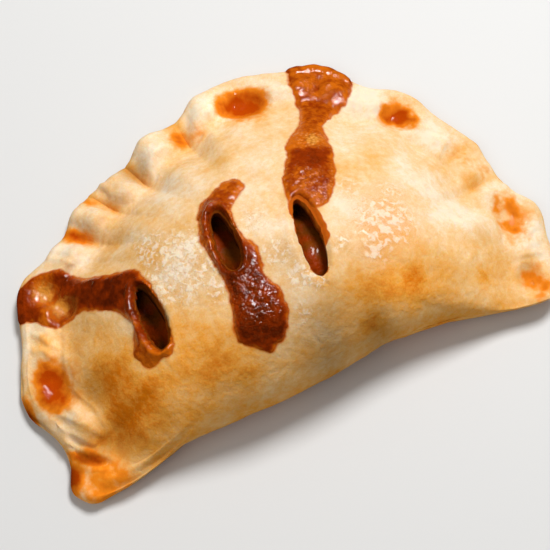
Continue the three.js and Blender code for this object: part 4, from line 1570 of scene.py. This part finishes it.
class CrustSettings(bpy.types.PropertyGroup):
    relief: bpy.props.FloatProperty(
        name="Relief", description="Unevenness of the crust", default=1.0, min=0.0, max=3.0
    )
    pale: colour_setting("Pale", "Pastry that took no colour", (0.84, 0.70, 0.52))
    cream: colour_setting("Cream", "Lightly baked pastry", (0.81, 0.56, 0.31))
    light_gold: colour_setting("Light gold", "Pastry that took some colour", (0.76, 0.43, 0.15))
    golden: colour_setting("Golden", "Golden pastry", (0.73, 0.31, 0.045))
    brown: colour_setting("Brown", "Deeply browned pastry", (0.60, 0.16, 0.004))
    wash_light: colour_setting("Light egg wash", "Egg wash with some colour", (0.82, 0.38, 0.09))
    wash_thin: colour_setting("Egg wash", "Thin browned egg wash", (0.76, 0.22, 0.012))
    wash_deep: colour_setting("Deep egg wash", "Pooled browned egg wash", (0.44, 0.055, 0.001))
    flake: colour_setting("Flakes", "White flakes of the top layer", (0.92, 0.82, 0.68))
    blister: colour_setting("Blisters", "Pink edges of blisters", (0.80, 0.36, 0.16))
    stain: colour_setting("Stain", "Crust that juice has stained", (0.5, 0.1, 0.006))
    # Colours deep in the slits' walls: painted shade over the soaked and the dry pastry.
    soaked_wall_shade: colour_setting("Soaked wall", "Wet wall of a slit, inside", (0.12, 0.022, 0.001))
    dry_wall_shade: colour_setting("Dry wall", "Dry wall of a slit, inside", (0.2, 0.06, 0.008))


class JuiceSettings(bpy.types.PropertyGroup):
    thin: colour_setting("Thin juice", "Juice where it lies thin", (0.60, 0.13, 0.004))
    rich: colour_setting("Juice", "Juice of middling depth", (0.28, 0.03, 0.001))
    thick: colour_setting("Thick juice", "Juice where it lies thick", (0.09, 0.010, 0.001))
    clear: colour_setting("Clear juice", "Juice where it stayed golden", (0.66, 0.25, 0.03))
    # Partly the froth's own colour and partly a painted highlight on the bubbles.
    foam: colour_setting("Foam", "Small bubbles in the juice", (0.80, 0.34, 0.10))
    apple: colour_setting("Apple", "Cooked apple", (0.18, 0.045, 0.003))


class StageSettings(bpy.types.PropertyGroup):
    table: colour_setting("Table", "Colour of the table", (0.68, 0.685, 0.69))
    table_mottle: colour_setting("Table mottle", "Paler patches of the table", (0.7, 0.7, 0.7))
    window: bpy.props.FloatProperty(
        name="Window", description="Power of the main soft light", default=8.8, unit="POWER"
    )
    room: bpy.props.FloatProperty(
        name="Room", description="Brightness of the room", default=0.22, min=0.0
    )
    room_colour: colour_setting("Room colour", "Colour of the room's light", (1.0, 0.98, 0.95))


class TURNOVER_PT_panel(bpy.types.Panel):
    """Steps that build the turnover"""

    bl_label = "Turnover"
    bl_space_type = "VIEW_3D"
    bl_region_type = "UI"
    bl_category = "Turnover"

    def draw(self, context):
        for step in OPERATORS:
            self.layout.operator(step.bl_idname)


SETTINGS = {
    "turnover_crust": CrustSettings,
    "turnover_juice": JuiceSettings,
    "turnover_stage": StageSettings,
}
OPERATORS = (TURNOVER_OT_crust, TURNOVER_OT_juice, TURNOVER_OT_filling, TURNOVER_OT_stage)
CLASSES = (*SETTINGS.values(), *OPERATORS, TURNOVER_PT_panel)


def register():
    for cls in CLASSES:
        bpy.utils.register_class(cls)
    for name, cls in SETTINGS.items():
        setattr(bpy.types.Scene, name, bpy.props.PointerProperty(type=cls))


def unregister():
    for name in SETTINGS:
        delattr(bpy.types.Scene, name)
    for cls in reversed(CLASSES):
        bpy.utils.unregister_class(cls)


def main():
    register()
    for step in ("crust", "juice", "filling", "stage"):
        getattr(bpy.ops.turnover, step)()


if __name__ == "__main__":
    main()
